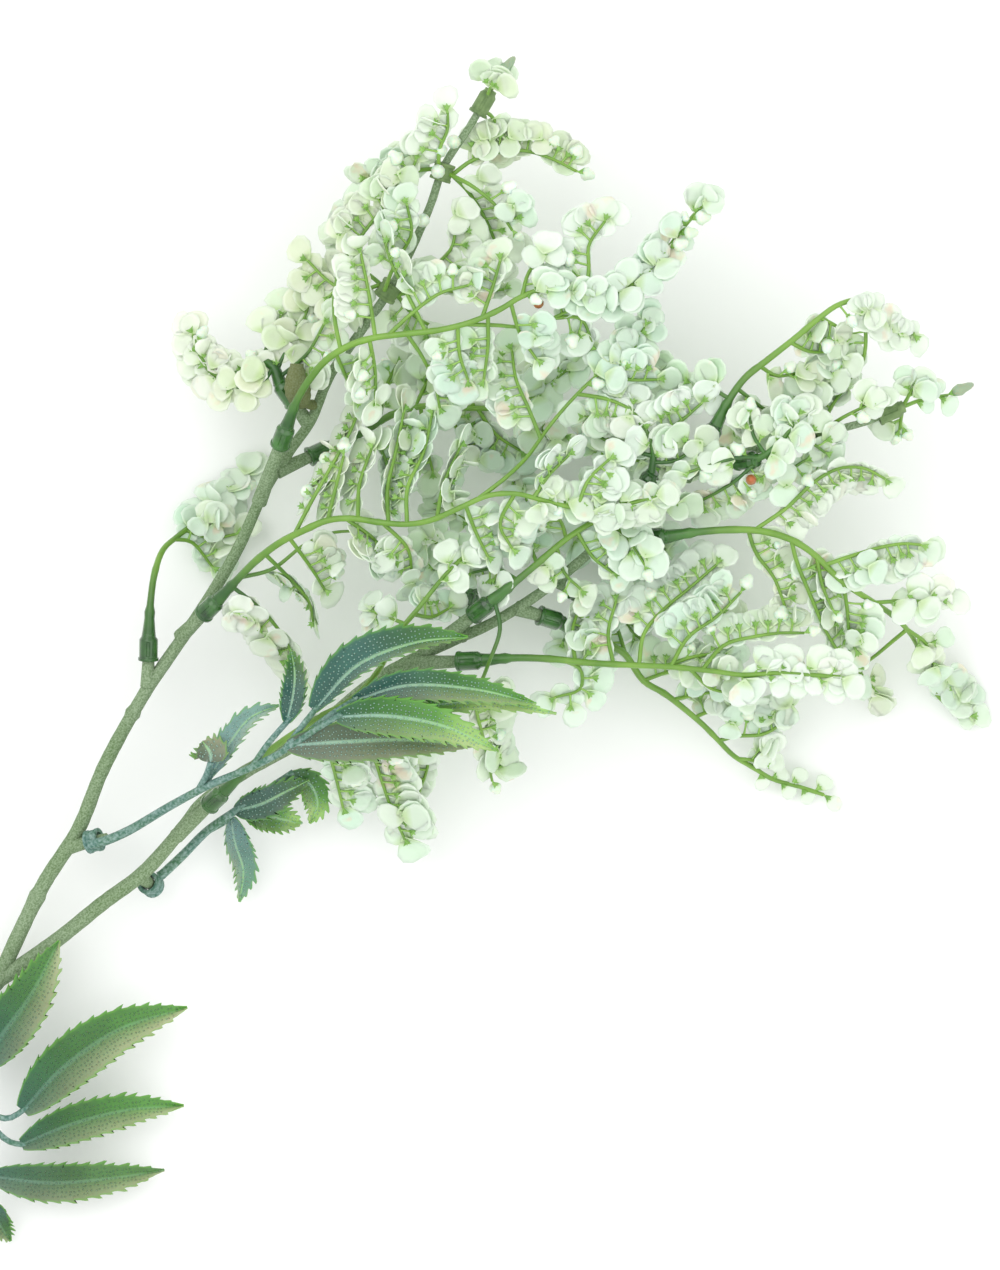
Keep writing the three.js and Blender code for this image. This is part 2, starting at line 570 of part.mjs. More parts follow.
// Leaf sprigs: a collar on a peg, a long petiole and toothed leaflets on short stalks
const leafSprigs = [
  {
    name: "leaf_sprig_left", base: [17.6, 33.8, 12.6], pegEnd: [28, 36.5, 17], collarAt: 0.52,
    petiole: [[27, 35.5, 20], [33, 38, 23], [45, 45, 34], [55, 50.3, 42], [65, 54.5, 48], [72, 58, 51],
      [76, 60.5, 52]],
    stalks: [
      [[74, 59.2, 51.5], [78, 65, 53], [82, 70, 54]],
      [[76, 60.5, 52], [84, 67, 55], [92, 72, 57]],
      [[76, 60.5, 52], [82, 64.5, 56], [88, 68, 59]],
      [[65, 54.5, 48], [69, 60, 49], [75, 67, 49]],
      [[50, 47.7, 38], [53, 50, 40], [56, 54, 41]],
      [[52, 48.8, 39.5], [54, 53, 44], [55, 56, 46]],
    ],
    leaflets: [
      { route: [[80.5, 69, 53.7], [92, 80, 57], [106, 85.5, 57], [119, 87, 55]], width: 12.5, teeth: 7 },
      { route: [[91, 71.5, 56.7], [104, 75, 59], [121, 74, 59], [136, 70.5, 57]], width: 11, teeth: 7 },
      { route: [[92, 71.5, 56.7], [104, 70, 55], [124, 71, 54.5], [141, 68, 54]], width: 6.5, teeth: 6 },
      { route: [[87, 67.5, 59], [99, 67.5, 61.5], [113, 65, 61.5], [126, 59, 59]], width: 11.5, teeth: 7 },
      { route: [[74, 59.5, 51.5], [88, 61, 54.5], [104, 61.5, 54.5], [121, 60, 52]], width: 12.5,
        teeth: 7 },
      { route: [[74.5, 66, 49], [75.5, 72, 49], [76, 78, 48], [75, 84, 46]], width: 6, teeth: 5 },
      { route: [[55.5, 53, 41], [60, 61, 43], [65, 67, 44], [72, 70, 43]], width: 7, teeth: 5 },
      { route: [[56, 55, 45.5], [55, 58, 46], [53, 61, 45]], width: 9, teeth: 3 },
    ],
  },
  {
    name: "leaf_sprig_right", base: [36, 26.7, 15.8], pegEnd: [40.5, 23, 6.5], collarAt: 0.45,
    petiole: [[40.5, 26.1, 10], [46.5, 31.5, 12], [53, 38, 15], [60, 43, 17], [66, 47, 18.5],
      [75, 53, 20]],
    stalks: [
      [[53, 38, 15], [57, 40, 14], [59, 41.5, 12]],
    ],
    leaflets: [
      { route: [[60, 43, 17], [67, 45, 19.5], [73, 48, 20.5], [79, 51, 20]], width: 8, teeth: 5 },
      { route: [[62, 44, 17], [67, 42.5, 16], [72, 41, 14], [77, 40, 11]], width: 8, teeth: 5 },
      { route: [[74, 52.5, 20], [79, 50, 18], [81, 45, 15], [79, 40, 12]], width: 7, teeth: 5 },
      { route: [[58.5, 41.5, 12.5], [60, 35, 11], [62, 28, 8], [61, 20, 5]], width: 8, teeth: 5 },
    ],
  },
  {
    name: "leaf_sprig_low", base: [-9, -10.4, 9.2], pegEnd: [-3, -16, 11], collarAt: 0.5,
    petiole: [[-5, -17.5, 12.5], [-3, -25, 13], [-1.5, -33, 12.5], [-1, -42, 11], [-2, -51, 9],
      [0, -58, 6.5]],
    stalks: [
      [[-1.5, -33, 12.5], [3, -34.5, 12.5], [8, -31.5, 12.5]],
      [[-1.2, -37, 12], [3, -40.5, 10.5], [7.5, -41.5, 9.5]],
    ],
    leaflets: [
      { route: [[-4, -21, 13], [1, -14, 16], [9, -3, 18.5], [16, 10.5, 18]], width: 13.5, teeth: 7 },
      { route: [[6.5, -32, 12.7], [17, -21.5, 15], [31, -12, 15], [48, -6.5, 12]], width: 15, teeth: 8 },
      { route: [[6.5, -41.5, 9.7], [19, -36, 11], [33, -32.5, 10.5], [47, -31.5, 8]], width: 11, teeth: 7 },
      { route: [[-1.5, -49, 9.3], [13, -51, 9], [28, -50, 7.5], [42, -48, 5]], width: 11, teeth: 7 },
      { route: [[-1, -56.5, 7], [0, -61, 6], [3, -66, 4]], width: 6, teeth: 4 },
    ],
  },
];

// Rods and blades are kept clear of each other as beads along their routes
const beadSpacing = 1.5;
const leafBeadRadius = 1.6;
const leafBeadShare = 0.35;
const lifts = [0, 3, -3, 6, -6, 9, -9, 13, -13];
const lowestTwigTip = 5.2;
const beads = [];

function beadsOf(owner, points, startRadius, endRadius = startRadius) {
  const row = [];
  const legs = points.length - 1;
  for (let i = 0; i < legs; i += 1) {
    const from = vector(points[i]);
    const to = vector(points[i + 1]);
    const count = Math.max(1, Math.ceil(from.distanceTo(to) / beadSpacing));
    for (let k = 0; k <= count; k += 1) {
      const share = (i + k / count) / legs;
      const radius = startRadius + (endRadius - startRadius) * share;
      row.push({ owner, radius, at: from.clone().lerp(to, k / count) });
    }
  }
  return row;
}

function isClear(row) {
  return row.every((bead) => beads.every((other) => other.owner === bead.owner
    || other.at.distanceTo(bead.at) > other.radius + bead.radius + 2 * clearance));
}

// The nearest place on the rods of a piece, where what grows from it is rooted
function onRods(owner, point) {
  const wanted = vector(point);
  const nearest = new THREE.Vector3();
  const found = new THREE.Vector3();
  let least = Infinity;
  for (const stations of rods.get(owner)) {
    for (let i = 1; i < stations.length; i += 1) {
      new THREE.Line3(stations[i - 1], stations[i]).closestPointToPoint(wanted, true, found);
      if (found.distanceTo(wanted) < least) {
        least = found.distanceTo(wanted);
        nearest.copy(found);
      }
    }
  }
  return nearest.toArray();
}

// A twig is raised or lowered towards its tip until it clears the other sprays, or left out
function settled(owner, route) {
  const last = route.length - 1;
  for (const lift of lifts) {
    const moved = route.map((p, i) => [p[0], p[1], p[2] + (lift * i) / last]);
    const row = beadsOf(owner, moved, twigRadius);
    if (moved[last][2] >= lowestTwigTip && isClear(row)) {
      beads.push(...row);
      return moved;
    }
  }
  return null;
}

function alongLine(base, end) {
  return vector(end).sub(vector(base)).normalize();
}

function stepAlong(point, direction, distance) {
  return vector(point).addScaledVector(direction, distance).toArray();
}

// Each node's rods, sleeves and blades, before its petals
const pieces = new Map();
const rods = new Map();
const chains = [];

function addPiece(owner, solid) {
  if (!pieces.has(owner)) pieces.set(owner, []);
  const box = solid.boundingBox();
  pieces.get(owner).push({ solid, box });
}

function addRod(owner, points, startRadius, endRadius, sides, step) {
  addPiece(owner, taperedRod(points, startRadius, endRadius, sides, step));
  if (!rods.has(owner)) rods.set(owner, []);
  rods.get(owner).push(stationsOf(points, step));
}

const stemName = "wired_stem";

function addStemRod(points, startRadius, endRadius, step) {
  addPiece(stemName, taperedRod(points, startRadius, endRadius, stemSides, step));
  beads.push(...beadsOf(stemName, points, startRadius, endRadius));
}

function addPeg(base, direction, length) {
  const tip = stepAlong(base, direction, length);
  addPiece(stemName, taperedRod([base, tip], pegRootRadius, pegRadius, pegSides, length));
  beads.push(...beadsOf(stemName, [base, tip], pegRootRadius));
}

function addStem() {
  addStemRod(lowerStem, forkRadius, cutEndRadius, lowerStemStep);
  addStemRod(leftBranch, branchRadius, branchTipRadius, stemStep);
  addStemRod(rightBranch, branchRadius, branchTipRadius, stemStep);
  addStemRod(sideBranch, sideBranchRadius, sideBranchTipRadius, stemStep);
  for (const ring of rings) {
    const direction = vector(ring.along).normalize();
    const start = vector(ring.at).addScaledVector(direction, -ringLength / 2);
    const barrel = new THREE.CylinderGeometry(ringRadius, ringRadius, ringLength, stemSides);
    barrel.translate(0, ringLength / 2, 0);
    addPiece(stemName, aimed(barrel, start, direction));
  }
}

function addRachisAndSleeve(spray) {
  const direction = alongLine(spray.base, spray.end);
  const reach = vector(spray.end).distanceTo(vector(spray.base));
  const mouth = vector(spray.base).addScaledVector(direction, reach - sleeveLength);
  const bore = (pegAtMouth + clearance) / flatOfHexagon;
  addPeg(spray.base, direction, reach - sleeveFloor - pegTipGap);
  addPiece(spray.name, socketSleeve(mouth, direction, bore, sleeveRadius, sleeveLength));
  beads.push(...beadsOf(spray.name, [mouth.toArray(), spray.end], sleeveRadius));
  const seat = stepAlong(spray.end, direction, -sleeveFloor / 2);
  const route = [seat, ...spray.rachis];
  addRod(spray.name, route, rachisRadius, rachisTipRadius, rachisSides, rachisStep);
  beads.push(...beadsOf(spray.name, spray.rachis, rachisRadius));
  chains.push({ owner: spray.name, route, bare: spray.bare, step: rachisStep });
}

function addTwigs(owner, twigs) {
  for (const twig of twigs) {
    const route = settled(owner, twig.route);
    if (route) {
      addRod(owner, route, twigRadius, twigTipRadius, twigSides, twigStep);
      chains.push({ owner, route, bare: twig.bare, step: twigStep });
    }
  }
}

// The twigs of a spray start on its rachis, or on a twig before them
function addSprayTwigs(spray) {
  for (const { route, bare } of spray.twigs) {
    addTwigs(spray.name, [{ route: [onRods(spray.name, route[0]), ...route.slice(1)], bare }]);
  }
}

function addWhorlCollar(whorl) {
  const direction = vector(whorl.along).normalize();
  addPiece(whorl.name, collar(vector(whorl.at), direction, whorl.bore, collarLength));
  const end = stepAlong(whorl.at, direction, collarLength);
  beads.push(...beadsOf(whorl.name, [whorl.at, end], whorl.bore + collarWall));
}

// A route that grows from a collar is rooted in its wall, on the side that the route lies
function rootedRoute(route, middle, direction, bore) {
  const radial = vector(route[0]).sub(middle);
  radial.addScaledVector(direction, -radial.dot(direction)).normalize();
  const root = middle.clone().addScaledVector(radial, bore + collarWall * rootDepth);
  return [root.toArray(), ...route];
}

function rootedTwigs(whorl) {
  const direction = vector(whorl.along).normalize();
  const middle = vector(stepAlong(whorl.at, direction, collarLength / 2));
  return whorl.twigs.map(({ route, bare }) => {
    return { route: rootedRoute(route, middle, direction, whorl.bore), bare };
  });
}

function addTipCap(tip) {
  const direction = vector(tip.along).normalize();
  const bore = (branchTipRadius * branchTipShare + clearance) / flatOfHexagon;
  addPiece(tip.name, socketSleeve(vector(tip.mouth), direction, bore, bore + capWall, sleeveLength));
}

function addLeafSprig(sprig) {
  const direction = alongLine(sprig.base, sprig.pegEnd);
  const length = vector(sprig.pegEnd).distanceTo(vector(sprig.base));
  addPeg(sprig.base, direction, length);
  const bore = (pegAtMouth + clearance) / flatOfHexagon;
  const ringAt = vector(sprig.base).addScaledVector(direction, length * sprig.collarAt);
  const middle = ringAt.clone().addScaledVector(direction, leafCollarLength / 2);
  const petiole = rootedRoute(sprig.petiole, middle, direction, bore);
  addPiece(sprig.name, collar(ringAt, direction, bore, leafCollarLength));
  addRod(sprig.name, petiole, rachisRadius, rachisTipRadius, rachisSides, rachisStep);
  beads.push(...beadsOf(sprig.name, petiole, rachisRadius));
  for (const stalk of sprig.stalks) {
    const route = [onRods(sprig.name, stalk[0]), ...stalk.slice(1)];
    addRod(sprig.name, route, twigRadius, twigRadius, twigSides, twigStep);
    beads.push(...beadsOf(sprig.name, route, twigRadius));
  }
  for (const leaflet of sprig.leaflets) {
    const route = [onRods(sprig.name, leaflet.route[0]), ...leaflet.route.slice(1)];
    addPiece(sprig.name, leafBlade(route, leaflet.width, leaflet.teeth));
    for (const hand of [-1, 0, 1]) {
      const aside = hand * leafBeadShare * leaflet.width;
      const rise = Math.abs(aside) * leafFold;
      const shifted = leaflet.route.map((p) => [p[0], p[1] + aside, p[2] + rise]);
      beads.push(...beadsOf(sprig.name, shifted, leafBeadRadius));
    }
  }
}

addStem();
sprays.forEach(addRachisAndSleeve);
whorls.forEach(addWhorlCollar);
tips.forEach(addTipCap);
leafSprigs.forEach(addLeafSprig);
sprays.forEach(addSprayTwigs);
whorls.forEach((whorl) => addTwigs(whorl.name, rootedTwigs(whorl)));
tips.forEach((tip) => addTwigs(tip.name, tip.twigs));

function boxesMeet(a, b) {
  return [0, 1, 2].every((k) => a.min[k] <= b.max[k] && b.min[k] <= a.max[k]);
}

function touchesOthers(owner, solid) {
  const box = solid.boundingBox();
  for (const [name, list] of pieces) {
    if (name === owner) continue;
    for (const piece of list) {
      if (boxesMeet(box, piece.box) && !solid.intersect(piece.solid).isEmpty()) return true;
    }
  }
  return false;
}

// Petals stand to the left and right of a twig by turns, tilted a little up or down. The last
// one carries on along the twig, and some places hold a bud.
function addChain(chain) {
  const stations = stationsOf(chain.route, chain.step);
  const steps = stations.length - 1;
  const length = steps * stations[0].distanceTo(stations[1]);
  const count = Math.max(1, Math.round((length * (1 - chain.bare)) / petalSpacing));
  for (let i = 0; i <= count; i += 1) {
    const place = Math.min(1, chain.bare + ((1 - chain.bare) * i) / count) * steps;
    const before = Math.min(steps - 1, Math.floor(place));
    const root = stations[before].clone().lerp(stations[before + 1], place - before);
    const along = stations[before + 1].clone().sub(stations[before]).normalize();
    const level = new THREE.Vector3().crossVectors(along, new THREE.Vector3(0, 0, 1)).normalize();
    const above = new THREE.Vector3().crossVectors(level, along).normalize();
    const hand = i % 2 === 0 ? 1 : -1;
    const tilt = (draw() * 2 - 1) * petalTilt;
    const lean = petalLean[0] + draw() * (petalLean[1] - petalLean[0]);
    const outward = level.clone().multiplyScalar(hand * Math.cos(tilt));
    outward.addScaledVector(above, Math.sin(tilt)).addScaledVector(along, lean).normalize();
    if (i === count) outward.copy(along);
    const normal = new THREE.Vector3().crossVectors(outward, along);
    if (i === count) normal.copy(above);
    normal.normalize();
    const isBud = draw() < budShare;
    const shaped = (margin) => (isBud ? bud(root, outward, margin) : petal(root, outward, normal, margin));
    const shape = shaped(0);
    const isOnTable = shape.boundingBox().min[2] < 0;
    if (!isOnTable && !touchesOthers(chain.owner, shaped(petalMargin))) addPiece(chain.owner, shape);
  }
}

chains.forEach(addChain);

const layout = new THREE.Group();
for (const [name, list] of pieces) {
  const isLeaf = name.startsWith("leaf");
  const colour = name === stemName ? stemGreen : isLeaf ? leafGreen : sleeveGreen;
  layout.add(meshOf(name, joined(list.map((piece) => piece.solid)), colour, 0.6));
}
layout.rotation.z = THREE.MathUtils.degToRad(180 - lowerStemAngle);

// The origin is under the middle of the whole piece, on the table
const part = new THREE.Group();
part.add(layout);
part.updateMatrixWorld(true);
const box = new THREE.Box3().setFromObject(part, true);
layout.position.set(-(box.min.x + box.max.x) / 2, -(box.min.y + box.max.y) / 2, -box.min.z);

export default part;
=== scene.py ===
# An artificial caspia stem lying on a table: fine flowers, twigs and leaves round its solids.
# Routes and sizes are in millimetres, measured from the fork as seen from above: x to the
# right, y away, z above the table. layoutToRow takes them to the part's own frame, in metres.
import math
import random

import bmesh
import bpy
from mathutils import Matrix, Vector


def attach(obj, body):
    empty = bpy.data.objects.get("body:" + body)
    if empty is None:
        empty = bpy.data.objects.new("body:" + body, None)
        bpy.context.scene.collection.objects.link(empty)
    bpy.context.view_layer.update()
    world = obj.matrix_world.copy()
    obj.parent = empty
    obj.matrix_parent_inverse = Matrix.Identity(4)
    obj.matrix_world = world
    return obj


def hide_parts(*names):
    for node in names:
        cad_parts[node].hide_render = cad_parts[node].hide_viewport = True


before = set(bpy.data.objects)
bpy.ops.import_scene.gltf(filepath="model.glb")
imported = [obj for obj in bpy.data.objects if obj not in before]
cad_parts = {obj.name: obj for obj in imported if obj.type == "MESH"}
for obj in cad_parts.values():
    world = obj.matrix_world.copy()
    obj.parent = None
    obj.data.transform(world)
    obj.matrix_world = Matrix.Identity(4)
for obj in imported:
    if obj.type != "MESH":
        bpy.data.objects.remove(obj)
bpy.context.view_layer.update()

millimetre = 0.001
lowerStemLength = 280
lowerStemTurn = math.radians(229)
cutEndHeight = 2.4
cutEndReach = 0.002
up = Vector((0, 0, 1))
seeds = {"spray": 100, "whorl": 200, "tip": 300, "leaf": 400, "leafStep": 20, "stem": 7}


def findLayoutToRow():
    # the stem's far end, low on -X, tells where the layout lies in the part's frame
    stemPoints = [v.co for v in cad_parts["wired_stem"].data.vertices]
    farthest = min(p.x for p in stemPoints)
    cutEnd = [p for p in stemPoints if p.x < farthest + cutEndReach]
    middle = sum(cutEnd, Vector()) / len(cutEnd)
    shift = middle - Vector((-lowerStemLength, 0, cutEndHeight)) * millimetre
    turn = Matrix.Rotation(math.pi - lowerStemTurn, 4, "Z")
    return Matrix.Translation(shift) @ turn @ Matrix.Scale(millimetre, 4)


layoutToRow = findLayoutToRow()


# The routes of all stems and twigs. A twig holds its bare share, the manner of its flowers and its
# way, which starts at the nearest point of what carries it. A leaflet holds its width, teeth, tone,
# brown share (frosted below 0), the pale share of its second half (its own beige tone with painted
# light on that lit half), how much of that half isn't turned under, and its way.
sprayRoutes = {
    "spray_outer_left": {
        "base": (38.3, 74.5, 17.2), "end": (38.6, 88, 19.5), "bare": 0.62,
        "rachis": [
            (39, 95, 20), (40, 103, 18), (42, 109, 14.5), (45, 112, 11), (50, 116, 6.5),
            (57, 122, 3.6), (62, 127, 2.5)],
        "twigs": [
            (0.3, "left open", [(44.5, 111.6, 11.5), (49, 111, 9.5), (54, 105, 6.5)]),
            (0.25, "left open", [(48, 114.4, 8.2), (54, 112, 8), (60, 113, 7)]),
        ],
    },
    "spray_far_left": {
        "base": (79, 140.5, 29.8), "end": (71.5, 151, 33), "bare": 0.12, "manner": "both thick",
        "rachis": [
            (70, 155, 33), (66, 155.5, 31), (61, 153, 29), (56, 152.5, 27), (52, 157, 25),
            (50, 163, 24)],
        "twigs": [
            (0.2, "both thick", [(71, 153.5, 33), (74, 160, 32), (78, 167, 31), (80, 175, 31)]),
            (0.05, "both", [
                (70, 155, 33), (68.5, 151.7, 34.5), (64.5, 149.8, 34), (60, 149.2, 32)]),
            (0.2, "both", [(68, 155.3, 32), (69, 161, 31), (72, 167, 30)]),
            (0.3, "right open", [(72, 152.5, 33), (79, 158, 37), (83, 165, 39)]),
        ],
    },
    "spray_front": {
        "base": (46.5, 87, 19), "end": (56.5, 96.5, 30), "bare": 0.76, "manner": "both thick",
        "rachis": [
            (60, 100, 33), (66, 106, 37), (72, 110.5, 40), (78, 113.5, 43), (84, 116, 45),
            (90, 116.5, 47), (97, 115.5, 49), (104, 115, 51), (110, 116, 53), (117, 119, 55),
            (124, 122, 56), (131, 122.5, 57), (137, 121, 57), (143, 119.5, 56), (150, 119, 55),
            (158, 120, 54), (165, 121.5, 53)],
        "twigs": [
            (0.12, "right open", [
                (60, 100, 33), (67, 94, 30), (72, 88, 26), (75, 82, 22), (77, 76, 19)]),
            (0.95, "both", [
                (62, 102, 34), (70, 104, 33), (78, 110, 34), (85, 113, 36), (92, 113.5, 38)]),
            (0.3, "right edge", [(68, 107.5, 38), (74, 102, 33), (79, 96, 27), (80, 91, 22)]),
            (0.35, "left open", [(74, 111.5, 41), (80, 104, 36), (83, 99, 31)]),
            (0.2, "left edge", [
                (76, 112.5, 42), (79, 119, 41), (84, 128, 40), (89, 137, 39), (92, 144, 38)]),
            (0.3, "left edge", [(91, 116.5, 47), (92, 125, 44), (95, 134, 42)]),
            (0.35, "right open", [(98, 115.4, 49), (104, 109, 44), (105, 102, 38)]),
            (0.2, "left edge", [(104, 115, 51), (104, 124, 49), (108, 133, 46), (110, 142, 44)]),
            (0.25, "right edge", [(111, 116.4, 53), (113, 125, 50), (117, 134, 48)]),
            (0.3, "left open", [(119, 120, 55), (121, 113, 51), (124, 107, 48)]),
            (0.25, "left edge", [(136, 121.3, 57), (139, 127, 57), (144, 132, 56)]),
            (0.25, "right open", [(146, 119.2, 56), (149, 126, 56), (154, 131, 55)]),
            (0.66, "both thick", [
                (122, 121.3, 56), (129, 127, 55), (134, 132, 53), (139, 139, 51),
                (144, 145, 50), (150, 151, 49), (158, 157, 48), (163, 164, 46)]),
            (0.25, "left open", [
                (137, 136.5, 52), (134, 144, 50), (131, 151, 48), (130, 158, 46)]),
            (0.3, "right open", [(146, 147, 50), (154, 146, 49), (161, 143, 47)]),
            (0.3, "left open", [(152, 152.4, 49), (159, 151, 48), (166, 151, 47)]),
            (0.1, "left edge", [(84, 116, 45), (86, 124, 43), (88, 132, 41)]),
            (0.1, "right edge", [(89, 116.5, 47), (96, 111, 43), (99, 106, 39)]),
            (0.15, "left open", [(130, 122.5, 57), (127, 115, 54), (130, 109, 51)]),
            (0.1, "right edge", [(99, 115.4, 49), (99, 124, 46), (101, 133, 43), (103, 143, 41)]),
        ],
    },
    "spray_crown": {
        "base": (66.5, 120.8, 24.3), "end": (74, 140, 40), "bare": 0.58, "manner": "both thick",
        "rachis": [
            (77, 147, 45), (83, 155, 50), (89, 159, 53), (95, 161, 55), (103, 162, 57),
            (112, 163, 58), (120, 165, 59), (127, 168, 60), (132, 171, 60), (138, 173, 60),
            (145, 172, 59), (151, 171, 58), (157, 173, 56), (163, 177, 54), (167, 181, 52),
            (172, 188, 50), (177, 194, 48)],
        "twigs": [
            (0.5, "left open", [
                (88, 158.5, 53), (86, 166, 53), (86, 173, 53), (88, 180, 52), (91.5, 185, 52),
                (96, 191, 52), (102, 197, 52), (106, 205, 51)]),
            (0.2, "left open", [(148, 171.3, 58), (149, 178, 58), (149, 184, 57), (153, 190, 56)]),
            (0.92, "left open", [
                (118, 164.5, 59), (126, 164.2, 57), (134, 164, 55), (144.5, 168, 54)]),
            (0.3, "right open", [(140, 167, 54), (147, 166, 52), (150, 160, 49)]),
            (0.5, "right edge", [(108, 162.5, 57), (104, 172, 56), (100, 180, 55), (98, 187, 54)]),
            (0.45, "left open", [(99, 161.5, 56), (105, 167, 57), (112, 172, 58), (119, 174, 58)]),
            (0.25, "left open", [(123, 166.3, 59), (125, 173, 59), (127, 180, 58)]),
            (0.3, "right open", [(133, 171.5, 60), (134, 177, 59), (137, 181, 58)]),
            (0.45, "left open", [(104, 162, 57), (108, 156, 53), (111, 149, 49), (112, 144, 46)]),
            (0.35, "right open", [(124, 166.7, 59), (124, 159, 55), (123, 151, 52)]),
            (0.4, "left open", [(130, 170, 60), (132, 162, 56), (136, 156, 53)]),
            (0.2, "right edge", [(94, 160.7, 55), (96, 153, 51), (96, 146, 48)]),
            (0.25, "left open", [(96, 161, 55), (94.5, 172, 54), (92.5, 182, 53)]),
            (0.1, "left open", [(86, 157.2, 52), (89, 151, 48), (91, 146, 45)]),
            (0.1, "right open", [(117, 164.3, 59), (117, 157, 55), (119, 151, 52)]),
        ],
    },
    "spray_back_left": {
        "base": (71, 128.5, 26.5), "end": (85, 135, 22), "bare": 0.7,
        "rachis": [
            (90, 137, 21), (95, 140, 21), (100, 143, 21), (107, 145, 21), (113, 145, 21),
            (121, 144.5, 21), (129, 145, 22), (134, 147, 23), (140, 151, 24), (146, 156, 26)],
        "twigs": [
            (0.15, "left open", [(94, 139.4, 21), (98, 132, 17), (100, 124, 13)]),
            (0.15, "right open", [(107, 145, 21), (108, 137, 17), (110, 129, 14)]),
            (0.15, "left open", [(114, 145, 21), (117, 138, 18), (121, 133, 15)]),
            (0.15, "right open", [(122, 144.5, 21), (126, 138, 18), (132, 134, 16)]),
            (0.15, "both", [(106, 144.7, 21), (109, 152, 18), (112, 159, 16)]),
            (0.15, "both", [(134, 147, 23), (136, 154, 21), (136, 160, 19)]),
            (0.1, "both", [(97, 141.2, 21), (98, 149, 18), (101, 156, 16)]),
            (0.1, "left", [(120, 144.6, 21), (123, 151, 19), (127, 157, 17)]),
            (0.1, "right", [(131, 145.8, 22), (137, 141, 20), (143, 138, 18)]),
        ],
    },
    "spray_low_front": {
        "base": (45.5, 36.8, 18.5), "end": (58, 48.5, 32), "bare": 0.88,
        "rachis": [
            (65, 55, 35), (72, 60.5, 38), (82, 67, 41), (90, 71.5, 43), (97, 79, 45),
            (101, 87, 46), (107, 94.5, 47), (113, 102, 46), (119, 108, 44)],
        "twigs": [
            (0.1, "left open large", [(81, 66.5, 41), (84, 59, 34), (86, 51, 26), (87.5, 44, 20)]),
            (0.2, "left open large", [
                (90, 71.5, 43), (94, 62, 35), (97, 52, 28), (100, 43, 22), (103, 36, 17)]),
            (0.45, "right open large", [
                (95, 76.5, 44), (104, 66, 35), (109, 57, 28), (106, 46, 22)]),
            (0.25, "left open", [(105, 92, 47), (110, 92, 43), (114, 94, 39)]),
            (0.3, "both", [(103, 89.7, 46), (99, 92, 42), (96, 93, 39)]),
            (0.1, "both", [(117, 106, 45), (114, 109, 40), (110, 111, 36)]),
        ],
    },
    "spray_mid_right": {
        "base": (108, 82.9, 33.5), "end": (125, 96, 46), "bare": 0.72,
        "rachis": [
            (130, 100, 48), (136, 105, 49), (143, 111, 49), (149, 115, 48), (156, 118, 47),
            (163, 119.5, 46), (170, 120, 45)],
        "twigs": [
            (0.5, "left open large", [
                (126, 96.8, 46.5), (127, 89, 48), (124, 80, 47), (121, 71, 40), (123, 61, 33),
                (125, 51, 27)]),
            (0.25, "left open", [(131, 100.8, 48), (126, 104, 44), (120, 103, 40)]),
            (0.3, "both", [(136, 105, 49), (134, 110, 44), (130, 113, 40)]),
            (0.25, "right open", [(141, 109.3, 49), (143, 103, 45), (147, 99, 43)]),
            (0.25, "left open", [(146, 113, 48.5), (150, 107, 46), (155, 103, 44)]),
            (0.25, "both", [(153, 116.7, 47), (159, 111, 46), (163, 105, 46)]),
            (0.1, "left open", [(143, 111, 49), (142, 116, 45), (138, 120, 41)]),
        ],
    },
    "spray_right": {
        "base": (105.5, 80.4, 34.3), "end": (123, 81.2, 41), "bare": 0.72,
        "rachis": [
            (131, 81.8, 42), (140, 81.5, 42), (150, 80.5, 42), (160, 80, 42), (170, 79.5, 41),
            (180, 78.5, 40), (188, 77.5, 39), (196, 78, 38), (205, 77.5, 37), (212, 77, 36)],
        "twigs": [
            (0.25, "left open", [(142, 81.4, 42), (147, 79, 40), (147, 74, 37), (141, 72, 35)]),
            (0.3, "right open", [(146, 81, 42), (145, 88, 39), (147, 95, 36)]),
            (0.3, "left open", [(155, 80.2, 42), (154, 88, 39), (156, 96, 37)]),
            (0.3, "left open", [
                (162, 79.9, 42), (163, 88, 40), (168, 94, 39), (174, 99, 38), (181, 105, 37)]),
            (0.25, "left open", [(169, 79.6, 41), (174, 87, 39), (181, 92, 38), (187, 98, 37)]),
            (0.25, "left open", [
                (177, 78.8, 40), (183, 85, 38), (190, 87, 37), (197, 88, 37), (203, 88, 37)]),
            (0.4, "left", [(174, 79.1, 40.5), (180, 74, 36), (186, 73, 33)]),
            (0.1, "both", [(168, 79.6, 41), (175, 82, 37), (182, 83, 34)]),
        ],
    },
    "spray_drooping": {
        "base": (131, 94.2, 37.3), "end": (143, 90.5, 33), "bare": 0.8, "manner": "slim",
        "rachis": [
            (149, 86, 31), (154, 85, 30), (158, 83, 29), (163, 76, 27), (168, 73, 25),
            (172, 70, 22.5), (178, 65, 18.5), (182, 61, 15.5), (186, 57, 12), (191, 54, 8.5),
            (196, 51, 5.6), (203, 49, 3.2), (209, 47, 2.3)],
        "twigs": [
            (0.1, "left", [(163, 76, 27), (170, 78.3, 25), (177, 78, 23)]),
            (0.15, "left", [(171, 70.8, 23.5), (176.5, 72.5, 21), (183, 73.5, 19)]),
            (0.15, "left", [(176, 66.8, 21), (179, 68, 18), (184, 68.5, 15)]),
            (0.05, "left", [
                (182, 61, 15.5), (186.5, 62, 15.2), (193, 62.4, 14.5), (197, 64.5, 14),
                (199.5, 68.5, 14)]),
            (0.2, "left", [(187, 56.4, 11.3), (190, 56, 10.5), (193.5, 55, 9)]),
            (0.1, "left open", [(158, 83, 29), (156, 90, 25), (152, 95, 22)]),
        ],
    },
    "spray_far_right": {
        "base": (152.5, 111, 39), "end": (169, 112, 44), "bare": 0.88, "manner": "left",
        "rachis": [
